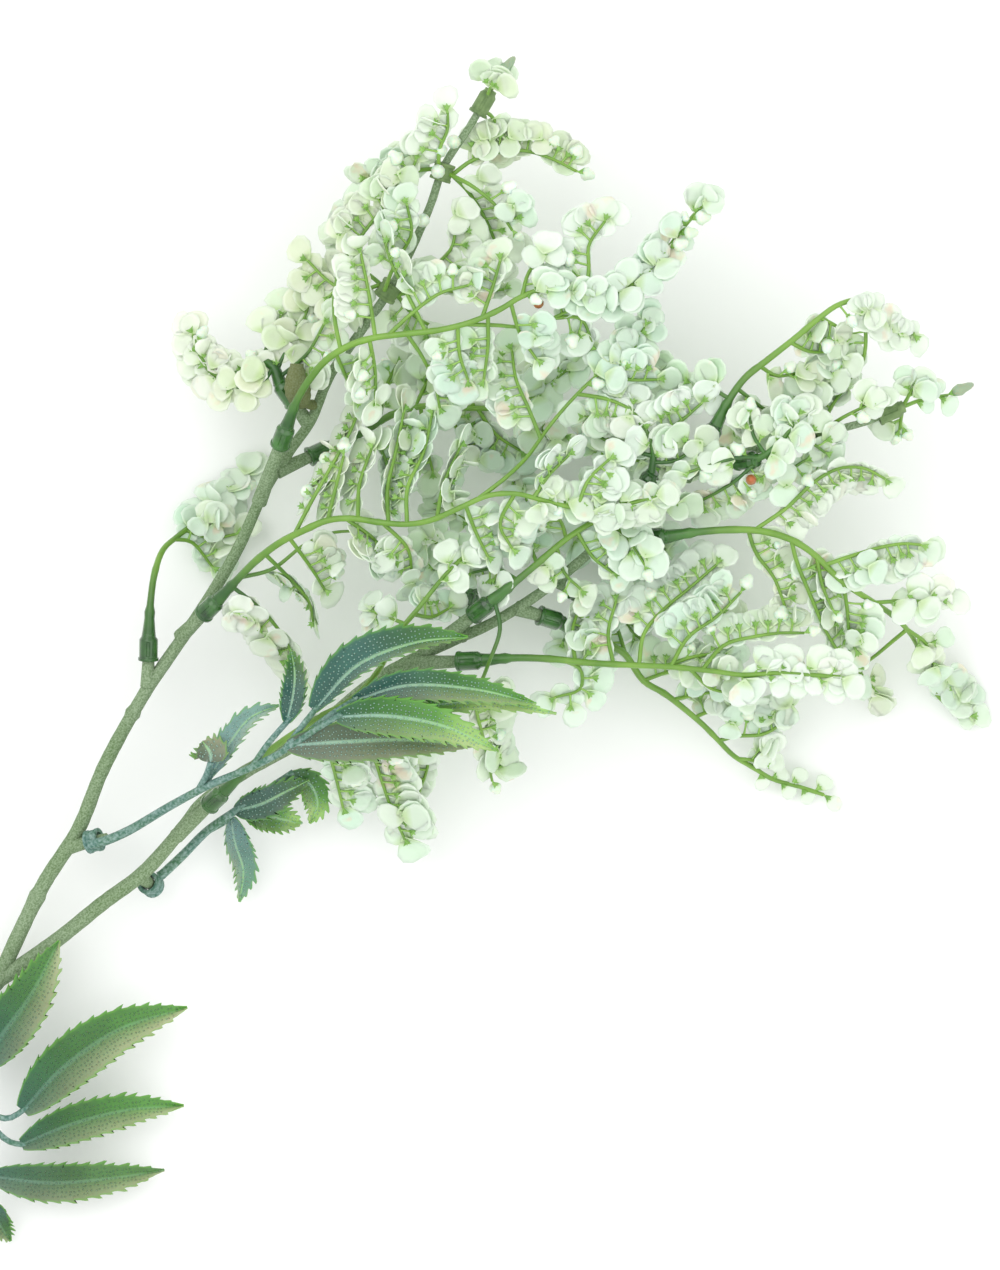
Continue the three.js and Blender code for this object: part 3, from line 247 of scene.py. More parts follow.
            (175, 113, 45), (184, 113.7, 46), (191, 113.5, 46), (196, 112.5, 45.5),
            (201, 110.5, 44), (206, 107, 42), (210, 103, 40), (215, 99, 38), (220, 96, 34),
            (226, 92, 28.5), (230, 88, 22.5), (233, 83, 14.5), (235, 77, 8.5), (238, 72, 5.5),
            (242, 68.5, 3.8), (246, 67, 3)],
        "twigs": [
            (0.18, "right open", [
                (191, 113.5, 46), (198.5, 119.3, 45), (204.5, 125, 44), (209, 128, 43),
                (213, 129.3, 42), (218, 129, 41), (223, 126.5, 40)]),
            (0.2, "left open", [
                (188.5, 113.6, 46), (190.8, 108, 42), (195.5, 101.6, 38), (198.5, 94, 34)]),
            (0.2, "left open", [
                (199.4, 111, 45), (201, 105.7, 42), (204.7, 97, 37), (208.5, 88.6, 32),
                (212, 83, 28), (217, 75.5, 21)]),
            (0.2, "left open", [(206, 106, 42), (207.6, 99.5, 39), (210, 94, 37)]),
            (0.3, "left open", [
                (213, 100.5, 39), (213.8, 94, 35), (214.5, 88, 31), (216, 84, 29)]),
            (0.15, "right open", [
                (208, 105, 41), (214, 107, 41), (222, 109.4, 40), (228, 110.3, 39.5),
                (232, 110, 39)]),
            (0.2, "both", [(221, 95.4, 34.5), (227, 96, 34), (232.5, 96, 35), (237.5, 96, 35)]),
            (0.72, "both", [(229, 89, 24), (223, 83.5, 19), (218, 78.5, 14), (221.5, 74, 10)]),
            (0.25, "both", [(230, 88, 24), (234, 85.5, 22), (236, 80.5, 17)]),
        ],
    },
    "spray_upper_right": {
        "base": (173, 126.5, 39), "end": (181, 140, 46), "bare": 0.66, "manner": "right",
        "rachis": [
            (184, 146, 47), (188, 151.5, 48), (193, 155.5, 49), (200, 161, 50), (206, 166, 50),
            (211, 169.5, 50), (217, 171, 49), (222, 169.5, 47), (226, 166, 45), (230, 162.5, 43)],
        "twigs": [
            (0.15, "both", [(184, 146, 47), (178, 149.5, 46), (172, 149, 44), (167, 152, 42)]),
            (0.25, "right", [
                (216, 170.9, 49), (218, 163, 46), (217, 155, 44), (211, 149, 42),
                (202, 146.3, 41)]),
            (0.25, "both", [(191, 154, 48.5), (196, 152, 45), (202, 153, 42)]),
            (0.25, "left open", [(199, 160.3, 50), (204, 158, 47), (209, 158, 44)]),
            (0.2, "right open", [(186, 149, 47.5), (191, 145, 45), (197, 141, 43)]),
            (0.1, "right", [(206, 166, 50), (211, 164, 48), (213, 162, 46)]),
        ],
    },
    "spray_centre": {
        "base": (159, 116.6, 39), "end": (165, 128, 47), "bare": 0.2,
        "rachis": [(165, 134, 48), (162, 140, 48), (158, 146, 47)],
        "twigs": [
            (0.15, "right open", [(164.7, 132, 48), (158, 134, 47), (151, 137, 45)]),
            (0.2, "left open", [(164.5, 136, 48), (171, 140, 48), (177, 145, 48)]),
            (0.2, "both", [(161, 141.5, 48), (154, 141, 46), (148, 142, 44)]),
            (0.1, "left open", [(165, 131, 48), (171, 131, 48), (176, 135, 48)]),
        ],
    },
    "spray_inner_right": {
        "base": (182, 130.9, 38.6), "end": (191, 131, 48), "bare": 0.1,
        "rachis": [(194, 133, 49), (198, 137, 49), (201, 142, 48)],
        "twigs": [
            (0.12, "left open", [
                (192, 131.6, 48.5), (187, 127, 47), (181, 123, 44), (175, 120, 41)]),
            (0.2, "right open", [(193, 132.2, 49), (197, 128, 46), (203, 131, 43)]),
            (0.25, "both", [(193, 132.2, 49), (190, 137, 49), (189, 142, 49)]),
            (0.3, "left open", [(197, 136, 49), (203, 136, 46), (208, 133, 42)]),
            (0.05, "both", [(192, 131.5, 48.6), (186, 131.5, 50), (180, 130, 50), (174, 128, 49)]),
        ],
    },
    "spray_under_left": {
        "base": (117, 86.8, 35.3), "end": (120, 98, 26), "bare": 0.15,
        "rachis": [
            (120, 104, 22), (124, 111, 19), (131, 116, 17), (139, 119, 16), (147, 123, 15),
            (155, 128, 14), (163, 133, 13)],
        "twigs": [
            (0.15, "left open", [(120.3, 105.5, 21), (113, 107, 17), (107, 109, 14)]),
            (0.15, "right", [(132, 116.5, 17), (130, 123, 13), (131, 129, 11)]),
            (0.15, "both", [(139, 119, 16), (145, 113, 13), (152, 110, 11)]),
            (0.15, "left", [(147, 123, 15), (155, 120, 12), (162, 117, 10)]),
            (0.15, "both", [(155, 128, 14), (152, 135, 11), (149, 141, 9)]),
            (0.1, "right", [(162, 132.5, 13), (170, 134, 11), (178, 135, 9), (185, 138, 8)]),
            (0.15, "both", [(162, 132.5, 13), (165, 140, 11), (170, 146, 9)]),
            (0.1, "both", [(124, 111, 19), (118, 117, 15), (112, 120, 12)]),
        ],
    },
    "spray_under_right": {
        "base": (141, 101.3, 38.4), "end": (148, 97, 27), "bare": 0.15,
        "rachis": [(153, 95.5, 21), (160, 96, 17), (168, 99, 14), (175, 103, 12)],
        "twigs": [
            (0.15, "left open", [(152, 95.7, 22), (146, 91, 17), (143, 86, 13)]),
            (0.15, "both", [(160, 96, 17), (164, 103, 13), (168, 110, 10)]),
            (0.15, "both", [(168, 99, 14), (175, 96, 10), (183, 94, 8)]),
            (0.1, "both", [(158, 95.8, 18), (159, 90, 13), (163, 86, 10)]),
        ],
    },
}

whorlRoutes = {
    "whorl_left_middle": {
        "at": (98, 171.6, 39.6), "along": (0.55, 0.79, 0.25), "bore": 1.85,
        "twigs": [
            (0.3, "left open", [(92, 180, 38), (90, 187, 36), (91, 194, 35)]),
            (0.2, "left open", [(110, 174, 36), (119, 173, 34), (128, 174, 33)]),
            (0.2, "right open", [(106, 167, 34), (114, 163, 31)]),
            (0.25, "left open", [(90, 173, 39), (84, 176, 37), (79, 181, 36)]),
            (0.35, "left open", [(101, 180, 49), (105, 187, 52), (104, 194, 54)]),
            (0.5, "right open", [(109, 178, 43), (115, 184, 45), (116, 191, 45)]),
        ],
    },
    "whorl_left_top": {
        "at": (112, 200.6, 45.8), "along": (0.31, 0.94, 0.09), "bore": 1.7,
        "twigs": [
            (0.2, "left thick", [
                (120, 205.5, 47), (126, 207.5, 47), (133, 208, 46), (140, 206, 45),
                (146, 203, 44)]),
            (0.2, "left open", [(119, 198, 44), (124, 190, 41), (127, 182, 39)]),
            (0.2, "right open", [(106, 203, 44), (99, 200, 43), (94, 201, 42)]),
            (0.35, "left open", [(112, 208, 52), (114, 213, 53), (114, 217, 53)]),
            (0.6, "left open", [(120, 199, 51), (126, 194, 52), (130, 188, 51)]),
        ],
    },
    "whorl_right": {
        "at": (206, 137.5, 37.8), "along": (0.97, 0.24, -0.04), "bore": 1.65,
        "twigs": [
            (0.3, "right open", [(210, 131, 32), (207, 125, 28)]),
            (0.4, "left open", [(210, 145, 40), (213, 149, 38)]),
            (0.6, "both", [(213, 142, 44), (219, 145, 44)]),
        ],
    },
}

tipRoutes = {
    "tip_left": {
        "mouth": (121.3, 217, 47), "along": (0.5, 0.86, 0),
        "twigs": [
            (0.1, "both", [(123.6, 220.8, 48), (124.6, 223.6, 50)]),
            (0.1, "slim pointed", [(124.6, 222.6, 47), (126, 225.5, 47)]),
            (0.1, "both", [(122.2, 218.5, 46), (125.5, 216, 44.5), (126.5, 211.5, 43.5)]),
        ],
    },
    "tip_right": {
        "mouth": (221.5, 142, 36.8), "along": (0.92, 0.38, -0.08),
        "twigs": [
            (0.2, "slim pointed", [(227.6, 144.5, 36.3), (233, 146.5, 36), (239, 147.5, 35)]),
            (0.2, "both", [(227.6, 144.5, 36.4), (230, 149, 39)]),
            (0.2, "both", [(227.6, 144.4, 36.2), (227, 139, 33)]),
        ],
    },
}

leafRoutes = {
    "leaf_sprig_left": {
        "base": (17.6, 33.8, 12.6), "pegEnd": (28, 36.5, 17), "collarAt": 0.52,
        "petiole": [
            (27, 35.5, 20), (33, 38, 23), (45, 45, 34), (55, 50.3, 42), (65, 54.5, 48),
            (72, 58, 51), (76, 60.5, 52)],
        "stalks": [
            [(74, 59.2, 51.5), (78, 65, 53), (82, 70, 54)],
            [(76, 60.5, 52), (84, 67, 55), (92, 72, 57)],
            [(76, 60.5, 52), (82, 64.5, 56), (88, 68, 59)],
            [(65, 54.5, 48), (69, 60, 49), (75, 67, 49)],
            [(50, 47.7, 38), (53, 50, 40), (56, 54, 41)],
            [(52, 48.8, 39.5), (54, 53, 44), (55, 56, 46)],
        ],
        "leaflets": [
            (13, 14, -0.12, 0, 0.2, 0.35, [
                (80.5, 69, 53.7), (92, 80, 57), (106, 85.5, 57), (119, 87, 55)]),
            (8, 14, 0.05, 0, 0.4, 1, [
                (91, 71.5, 56.7), (104, 75, 59), (121, 74, 59), (136, 70.5, 57)]),
            (5, 12, 0.45, 0, 0.3, 1, [
                (92, 71.5, 56.7), (104, 70, 55), (124, 71, 54.5), (141, 68, 54)]),
            (10, 14, 0.32, 0, 0.4, 1, [
                (87, 67.5, 59), (99, 67.5, 61.5), (113, 65, 61.5), (126, 59, 59)]),
            (10.5, 14, 0.25, 0.75, 0.3, 1, [
                (74, 59.5, 51.5), (88, 61, 54.5), (104, 61.5, 54.5), (121, 60, 52)]),
            (6, 10, -0.15, 0, 0.1, 1, [
                (74.5, 66, 49), (75.5, 72, 49), (76, 78, 48), (75, 84, 46)]),
            (7, 10, 0.1, -1, 0.3, 0.6, [(55.5, 53, 41), (60, 61, 43), (65, 67, 44), (72, 70, 43)]),
            (9, 6, 0.1, 0.9, 0.4, 1, [(56, 55, 45.5), (55, 58, 46), (53, 61, 45)]),
        ],
    },
    "leaf_sprig_right": {
        "base": (36, 26.7, 15.8), "pegEnd": (40.5, 23, 6.5), "collarAt": 0.45,
        "petiole": [
            (40.5, 26.1, 10), (46.5, 31.5, 12), (53, 38, 15), (60, 43, 17), (66, 47, 18.5),
            (75, 53, 20)],
        "stalks": [
            [(53, 38, 15), (57, 40, 14), (59, 41.5, 12)],
        ],
        "leaflets": [
            (8, 10, -0.2, 0.25, 0.1, 1, [
                (60, 43, 17), (67, 45, 19.5), (73, 48, 20.5), (79, 51, 20)]),
            (8, 10, 0.3, 0, 0.2, 1, [(62, 44, 17), (67, 42.5, 16), (72, 41, 14), (77, 40, 11)]),
            (7, 10, 0.35, 0, 0.3, 1, [(74, 52.5, 20), (79, 50, 18), (81, 45, 15), (79, 40, 12)]),
            (8, 10, 0.1, -0.7, 0.3, 0.6, [
                (58.5, 41.5, 12.5), (60, 35, 11), (62, 28, 8), (61, 20, 5)]),
        ],
    },
    "leaf_sprig_low": {
        "base": (-9, -10.4, 9.2), "pegEnd": (-3, -16, 11), "collarAt": 0.5,
        "petiole": [
            (-5, -17.5, 12.5), (-3, -25, 13), (-1.5, -33, 12.5), (-1, -42, 11), (-2, -51, 9),
            (0, -58, 6.5)],
        "stalks": [
            [(-1.5, -33, 12.5), (3, -34.5, 12.5), (8, -31.5, 12.5)],
            [(-1.2, -37, 12), (3, -40.5, 10.5), (7.5, -41.5, 9.5)],
        ],
        "leaflets": [
            (13.5, 14, 0.22, 0, 0.8, 1, [
                (-4, -21, 13), (1, -14, 16), (9, -3, 18.5), (16, 10.5, 18)]),
            (13.5, 16, 0.32, 0, 0.9, 1, [
                (6.5, -32, 12.7), (17, -21.5, 15), (31, -12, 15), (48, -6.5, 12)]),
            (10, 14, 0.34, 0, 0.7, 1, [
                (6.5, -41.5, 9.7), (19, -36, 11), (33, -32.5, 10.5), (47, -31.5, 8)]),
            (10, 14, 0.28, 0.2, 0.6, 1, [
                (-1.5, -49, 9.3), (13, -51, 9), (28, -50, 7.5), (42, -48, 5)]),
            (6, 8, 0.2, 0.2, 0.5, 1, [(-1, -56.5, 7), (0, -61, 6), (3, -66, 4)]),
        ],
    },
}

# single buds beside the chains, with a tint: 0 fresh, 2 orange-brown
singleBuds = {
    "spray_inner_right": [((189.4, 126.1, 47.5), 2)],
    "spray_crown": [((136.5, 169.6, 57.5), 2)],
    "whorl_left_top": [
        ((115.5, 210, 48.6), 0), ((112.2, 207.8, 48.8), 0), ((111.6, 202.6, 49.4), 0),
        ((107.8, 190.6, 46), 0)],
}

leftBranch = [
    (0, 0, 10), (6, 13, 11), (12, 25, 12), (20.7, 38.7, 13), (27, 54, 14.5), (38, 73.7, 17),
    (43, 81, 18), (52, 94, 20), (61, 109, 22), (68, 124, 25), (74.5, 134, 28), (79.5, 141, 30),
    (84.5, 152.5, 33), (92, 163, 37), (101, 176, 41), (109.5, 194, 45), (113, 204, 46),
    (119.5, 214, 47), (123, 220, 47)]
rightBranch = [
    (0, 0, 10), (14.5, 10, 12), (27, 20, 14), (37, 27.5, 16), (47, 38.7, 19), (52, 45, 20.5),
    (62, 52.5, 23), (77, 61, 26), (97, 77, 31), (115, 86, 35), (125, 90.5, 36.5), (137, 98, 38),
    (147, 106, 39), (157, 115, 39), (170, 125, 39), (185, 132, 38.5), (200, 136, 38),
    (212, 139, 37.5), (219, 141, 37), (225, 143.5, 36.5)]
sideBranch = [(100, 78.5, 32), (106, 80.5, 34.5), (111.5, 81, 36.5)]


# Helpers for shaping
def clearSelection():
    bpy.ops.object.select_all(action="DESELECT")


def selectOnly(thing):
    clearSelection()
    thing.select_set(True)
    bpy.context.view_layer.objects.active = thing


def startShaping():
    # the object just added is opened where it stands, for work on its faces
    thing = bpy.context.object
    bpy.ops.object.transform_apply(location=True, rotation=False, scale=False)
    selectOnly(thing)
    bpy.ops.object.mode_set(mode="EDIT")
    bpy.ops.mesh.select_mode(type="FACE")
    return thing


def selectFaces(thing, isWanted):
    bpy.ops.mesh.select_all(action="DESELECT")
    mesh = bmesh.from_edit_mesh(thing.data)
    for face in mesh.faces:
        face.select_set(isWanted(face))
    bmesh.update_edit_mesh(thing.data)


def facesUp(face):
    return face.normal.z > 0.9


def insetBy(thickness, depth=0):
    bpy.ops.mesh.inset(thickness=thickness, depth=depth)


def extrudeUp(height):
    bpy.ops.mesh.extrude_region_move(TRANSFORM_OT_translate={"value": (0, 0, height)})


def resizeBy(x, y, z):
    bpy.ops.transform.resize(value=(x, y, z))


def stopShaping():
    bpy.ops.object.mode_set(mode="OBJECT")


def refine(thing, kind, **values):
    modifier = thing.modifiers.new(kind.lower(), kind)
    for name, value in values.items():
        setattr(modifier, name, value)
    selectOnly(thing)
    bpy.ops.object.modifier_apply(modifier=modifier.name)


def giveMaterial(mesh, material):
    mesh.materials.clear()
    mesh.materials.append(material)


def takeMesh(thing, name, material, isSmooth=True):
    # the finished shape is kept as a mesh, and what repeats is copied from it
    if isSmooth:
        bpy.ops.object.shade_smooth()
    mesh = thing.data
    mesh.name = name
    bpy.data.objects.remove(thing)
    giveMaterial(mesh, material)
    return mesh


def setAttribute(mesh, name, values):
    # one value for each vertex, or the same for all
    if not isinstance(values, list):
        values = [values] * len(mesh.vertices)
    layer = mesh.attributes.get(name) or mesh.attributes.new(name, "FLOAT", "POINT")
    layer.data.foreach_set("value", values)


def addObject(name, data):
    thing = bpy.data.objects.new(name, data)
    bpy.context.collection.objects.link(thing)
    return thing


def placeCopy(shape, place, tint=None):
    mesh = shape.copy()
    mesh.transform(place)
    if tint is not None:
        setAttribute(mesh, "tint", tint)
    return addObject(shape.name, mesh)


def frameAt(origin, along, above):
    # a place whose Y runs along and whose Z lies as near to above as it can
    y = Vector(along).normalized()
    x = y.cross(Vector(above))
    if x.length < 1e-4:
        x = y.cross(Vector((1, 0, 0.3)))
    x.normalize()
    z = x.cross(y)
    turned = Matrix((x, y, z)).transposed().to_4x4()
    return Matrix.Translation(origin) @ turned


def standAt(origin, axis):
    # a place whose Z runs along the axis
    turn = Vector(axis).to_track_quat("Z", "Y").to_matrix().to_4x4()
    return Matrix.Translation(origin) @ turn


straightParts = 20
bendParts = 12


# A smooth way through the given points, with an even step
def smoothRoute(points, step):
    given = [Vector(p) for p in points]
    if len(given) == 2:
        dense = [given[0].lerp(given[1], k / straightParts) for k in range(straightParts + 1)]
    else:
        ends = [given[0] * 2 - given[1], *given, given[-1] * 2 - given[-2]]
        dense = []
        for a, b, c, d in zip(ends, ends[1:], ends[2:], ends[3:]):
            before, here, after = [
                max((q - p).length, 1e-6) ** 0.5 for p, q in ((a, b), (b, c), (c, d))]
            leave = ((b - a) / before - (c - a) / (before + here) + (c - b) / here) * here
            reach = ((c - b) / here - (d - b) / (here + after) + (d - c) / after) * here
            for k in range(bendParts):
                t = k / bendParts
                dense.append(
                    b * (2 * t**3 - 3 * t**2 + 1) + leave * (t**3 - 2 * t**2 + t)
                    + c * (3 * t**2 - 2 * t**3) + reach * (t**3 - t**2)
                )
        dense.append(given[-1])
    lengths = [0]
    for p, q in zip(dense, dense[1:]):
        lengths.append(lengths[-1] + (q - p).length)
    count = max(2, round(lengths[-1] / step))
    route = []
    i = 0
    for k in range(count + 1):
        wanted = lengths[-1] * k / count
        while i < len(dense) - 2 and lengths[i + 1] < wanted:
            i += 1
        span = max(lengths[i + 1] - lengths[i], 1e-9)
        route.append(dense[i].lerp(dense[i + 1], min(1, (wanted - lengths[i]) / span)))
    return route


def routeLength(route):
    return sum((q - p).length for p, q in zip(route, route[1:]))


def pointOn(route, share):
    place = min(max(share, 0), 1) * (len(route) - 1)
    i = min(len(route) - 2, int(place))
    return route[i].lerp(route[i + 1], place - i), (route[i + 1] - route[i]).normalized()


def fadeBetween(low, high, value):
    t = min(max((value - low) / (high - low), 0), 1)
    return t * t * (3 - 2 * t)


# A rod is its route with a radius for each point
def taper(route, first, last):
    return [first + (last - first) * i / (len(route) - 1) for i in range(len(route))]


def nearestOn(rods, point):
    wanted = Vector(point)
    return min((p for route, radii in rods for p in route), key=lambda p: (p - wanted).length)


# All rods of a piece are one curve, made a mesh
def addRods(rods, material, roundness):
    clearSelection()
    bpy.ops.curve.primitive_nurbs_path_add(location=(0, 0, 0))
    line = bpy.context.object
    line.data.splines.clear()
    for points, radii in rods:
        spline = line.data.splines.new("POLY")
        spline.points.add(len(points) - 1)
        for knot, point, radius in zip(spline.points, points, radii):
            knot.co = (*point, 1)
            knot.radius = radius
    line.data.dimensions = "3D"
    line.data.bevel_depth = 1
    line.data.bevel_resolution = roundness
    line.data.use_fill_caps = True
    bpy.ops.object.convert(target="MESH")
    line = bpy.context.object
    giveMaterial(line.data, material)
    bpy.ops.object.shade_smooth()
    return line


def finishPiece(name, things, node):
    clearSelection()
    for thing in things:
        thing.select_set(True)
    piece = things[0]
    bpy.context.view_layer.objects.active = piece
    bpy.ops.object.join()
    piece.name = name
    piece.data.name = name
    piece.data.transform(layoutToRow)
    piece.data.update()
    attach(piece, "root")
    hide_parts(node)


# Materials. Colours are given as a screen shows them, from 0 to 255.
def paint(red, green, blue):
    shares = [c / 255 for c in (red, green, blue)]
    linear = [s / 12.92 if s <= 0.04045 else ((s + 0.055) / 1.055) ** 2.4 for s in shares]
    return (*linear, 1)


def addNode(tree, kind, inputs=None, **values):
    node = tree.nodes.new(kind)
    for name, value in values.items():
        setattr(node, name, value)
    for name, value in (inputs or {}).items():
        if isinstance(value, bpy.types.NodeSocket):
            tree.links.new(value, node.inputs[name])
        else:
            node.inputs[name].default_value = value
    return node


def mixColours(tree, share, first, second, blend="MIX"):
    node = addNode(
        tree, "ShaderNodeMix", {0: share, 6: first, 7: second}, data_type="RGBA", blend_type=blend)
    return node.outputs[2]


def addRamp(tree, share, stops):
    node = addNode(tree, "ShaderNodeValToRGB", {"Fac": share})
    ramp = node.color_ramp
    while len(ramp.elements) < len(stops):
        ramp.elements.new(0.5)
    for element, (place, colour) in zip(ramp.elements, stops):
        element.position = place
        element.color = colour
    return node.outputs["Color"]


def spread(tree, value, low, high, newLow=0, newHigh=1):
    node = addNode(tree, "ShaderNodeMapRange", {
        "Value": value, "From Min": low, "From Max": high, "To Min": newLow, "To Max": newHigh})
    return node.outputs["Result"]


def readAttribute(tree, name):
    return addNode(tree, "ShaderNodeAttribute", attribute_name=name).outputs["Fac"]


def calculate(tree, operation, first, second):
    node = addNode(tree, "ShaderNodeMath", {0: first, 1: second}, operation=operation)
    return node.outputs[0]


def multiply(tree, first, second):
    return calculate(tree, "MULTIPLY", first, second)


def newGroup(name, inputs, outputs):
    group = bpy.data.node_groups.new(name, "ShaderNodeTree")
    for label, kind, value in inputs:
        socket = group.interface.new_socket(label, in_out="INPUT", socket_type=kind)
        socket.default_value = value
    for label, kind in outputs:
        group.interface.new_socket(label, in_out="OUTPUT", socket_type=kind)
    return group, group.nodes.new("NodeGroupInput").outputs, group.nodes.new("NodeGroupOutput")


def addNoise(tree, size, detail):
    place = addNode(tree, "ShaderNodeTexCoord").outputs["Object"]
    noise = addNode(tree, "ShaderNodeTexNoise", {"Vector": place, "Scale": size, "Detail": detail})
    return noise.outputs["Fac"]


def buildMottle():
    # patches of two colours, of a given size, with a soft or a hard edge
    group, given, out = newGroup("mottle", [
        ("Size", "NodeSocketFloat", 300), ("Softness", "NodeSocketFloat", 0.2),
        ("Dark", "NodeSocketColor", (0, 0, 0, 1)), ("Light", "NodeSocketColor", (1, 1, 1, 1)),
    ], [("Color", "NodeSocketColor"), ("Mask", "NodeSocketFloat")])
    noise = addNoise(group, given["Size"], 3)
    low = calculate(group, "SUBTRACT", 0.5, given["Softness"])
    high = calculate(group, "ADD", 0.5, given["Softness"])
    mask = spread(group, noise, low, high)
    group.links.new(mixColours(group, mask, given["Dark"], given["Light"]), out.inputs["Color"])
    group.links.new(mask, out.inputs["Mask"])
    return group


def buildRelief():
    # the fine grain of a moulded or flocked surface
    group, given, out = newGroup("relief", [
        ("Size", "NodeSocketFloat", 900), ("Depth", "NodeSocketFloat", 0.3),
    ], [("Normal", "NodeSocketVector")])
    noise = addNoise(group, given["Size"], 2)
    bump = addNode(group, "ShaderNodeBump", {
        "Height": noise, "Strength": given["Depth"], "Distance": 0.3 * millimetre})
    group.links.new(bump.outputs["Normal"], out.inputs["Normal"])
    return group


mottleGroup = buildMottle()
reliefGroup = buildRelief()


def addMottle(tree, dark, light, size, softness):
    node = addNode(
        tree, "ShaderNodeGroup", {"Size": size, "Softness": softness, "Dark": dark, "Light": light},
        node_tree=mottleGroup)
    return node.outputs


def addRelief(tree, size, depth):
    node = addNode(tree, "ShaderNodeGroup", {"Size": size, "Depth": depth}, node_tree=reliefGroup)
    return node.outputs["Normal"]


def newMaterial(name, **constants):
    material = bpy.data.materials.new(name)
    material.use_nodes = True
    surface = material.node_tree.nodes["Principled BSDF"]
    for label, value in constants.items():
        surface.inputs[label.replace("_", " ")].default_value = value
    return material, material.node_tree, surface.inputs


def finishSurface(tree, surface, colour, grain):
    # grain is the size and the depth of the relief
    tree.links.new(colour, surface["Base Color"])
    tree.links.new(addRelief(tree, *grain), surface["Normal"])


petalFinish = {
    "green": paint(194, 218, 178), "cream": paint(222, 228, 198), "mint": paint(200, 228, 202),
    "milky": paint(218, 234, 207), "white": paint(236, 245, 230), "beige": paint(226, 214, 184),
    # claw: painted shade, the green of the calyx and pedicel seen through the petal's base
    "warm": paint(224, 229, 197), "cool": paint(202, 232, 214), "clawShade": paint(172, 206, 118),
    # rim: the petal's frosted edge colour, with a painted highlight along the rim
    "rim": paint(238, 248, 236), "blush": paint(224, 204, 178), "rimFrostAndHighlightStart": 0.66,
}


def makePetalMaterial():
    look = petalFinish
    material, tree, surface = newMaterial(
        "petal", Roughness=0.38, Subsurface_Weight=0.4, Subsurface_Scale=0.0009,
        Subsurface_Radius=(0.9, 1, 0.85), Specular_IOR_Level=0.3)
    tone = addRamp(tree, readAttribute(tree, "tint"), [
        (0, look["green"]), (0.2, look["cream"]), (0.4, look["mint"]), (0.6, look["milky"]),
        (0.88, look["white"]), (1, look["beige"])])
    light = addMottle(tree, look["warm"], look["cool"], size=9, softness=0.15)
    lit = mixColours(tree, 0.4, tone, light["Color"])
    patches = addMottle(tree, look["cream"], look["beige"], size=110, softness=0.2)
    blush = spread(tree, patches["Mask"], 0.82, 1, 0, 0.7)
    body = mixColours(tree, blush, lit, look["blush"])
    # painted shade: the base is painted green where the calyx and pedicel would show through the
    # thin petal
    clawShade = spread(tree, readAttribute(tree, "clawShade"), 0.3, 1, 0, 0.75)
    clawShaded = mixColours(tree, clawShade, body, look["clawShade"])
    # the rim is painted lighter: partly the petal's frosted edge, partly a painted highlight
    rim = spread(tree, readAttribute(tree, "rim"), look["rimFrostAndHighlightStart"], 1, 0, 0.3)
    finishSurface(tree, surface, mixColours(tree, rim, clawShaded, look["rim"]), (700, 0.2))
    return material


budFinish = {
    "light": paint(236, 246, 236), "green": paint(204, 226, 192), "brownBud": paint(176, 104, 58),
    "old": paint(150, 172, 140),
}


def makeBudMaterial():
    look = budFinish
    material, tree, surface = newMaterial(
        "bud", Roughness=0.3, Subsurface_Weight=0.3, Subsurface_Scale=0.0015, Coat_Weight=0.2)
    fresh = addMottle(tree, look["green"], look["light"], size=260, softness=0.3)["Color"]
    tint = readAttribute(tree, "tint")
    # a tint near 2 turns the bud orange-brown
    brownBud = mixColours(tree, spread(tree, tint, 1.2, 1.8), fresh, look["brownBud"])
    aged = mixColours(tree, spread(tree, tint, -1, -0.2, 1, 0), brownBud, look["old"])
    finishSurface(tree, surface, aged, (500, 0.15))
    return material


mouldedGrain = (900, 0.3)
mouldedFinish = {
    "calyx": {"dark": paint(112, 164, 70), "light": paint(156, 200, 108), "size": 300,
              "roughness": 0.5, "coat": 0.2},
    "sleeve": {"dark": paint(20, 60, 20), "light": paint(58, 116, 40), "size": 220,
               "roughness": 0.24, "coat": 0.6},
    "collar": {"dark": paint(84, 112, 64), "light": paint(128, 154, 98), "size": 420,
               "roughness": 0.8, "coat": 0.2},
}


def makeMouldedMaterial(name):
    look = mouldedFinish[name]
    material, tree, surface = newMaterial(
        name, Roughness=look["roughness"], Specular_IOR_Level=0.5, Coat_Weight=look["coat"],
        Coat_Roughness=0.15)
    tone = addMottle(tree, look["dark"], look["light"], look["size"], softness=0.22)
    finishSurface(tree, surface, tone["Color"], mouldedGrain)
    return material


twigFinish = {
    "oldDark": paint(34, 78, 30), "oldLight": paint(70, 122, 48), "dark": paint(84, 130, 36),
    "light": paint(130, 174, 68), "pedicel": paint(152, 198, 98),
}


def makeTwigMaterial():
    # dark where a rachis leaves its sleeve, brighter with distance, brightest in the pedicels
    look = twigFinish
    material, tree, surface = newMaterial(
        "twig", Roughness=0.36, Specular_IOR_Level=0.5, Coat_Weight=0.2, Coat_Roughness=0.25,
        Subsurface_Weight=0.1, Subsurface_Scale=0.001)
    old = addMottle(tree, look["oldDark"], look["oldLight"], size=160, softness=0.25)
    young = addMottle(tree, look["dark"], look["light"], size=90, softness=0.25)
    age = readAttribute(tree, "age")
    stalk = mixColours(tree, spread(tree, age, 0.1, 1), old["Color"], young["Color"])
    tone = mixColours(tree, spread(tree, age, 1, 2, 0, 0.8), stalk, look["pedicel"])
    finishSurface(tree, surface, tone, mouldedGrain)
    return material


stemFinish = {
    "dark": paint(84, 106, 74), "middle": paint(128, 150, 114), "pale": paint(182, 200, 174),
    "moss": paint(102, 130, 82), "bark": paint(98, 98, 48),
}


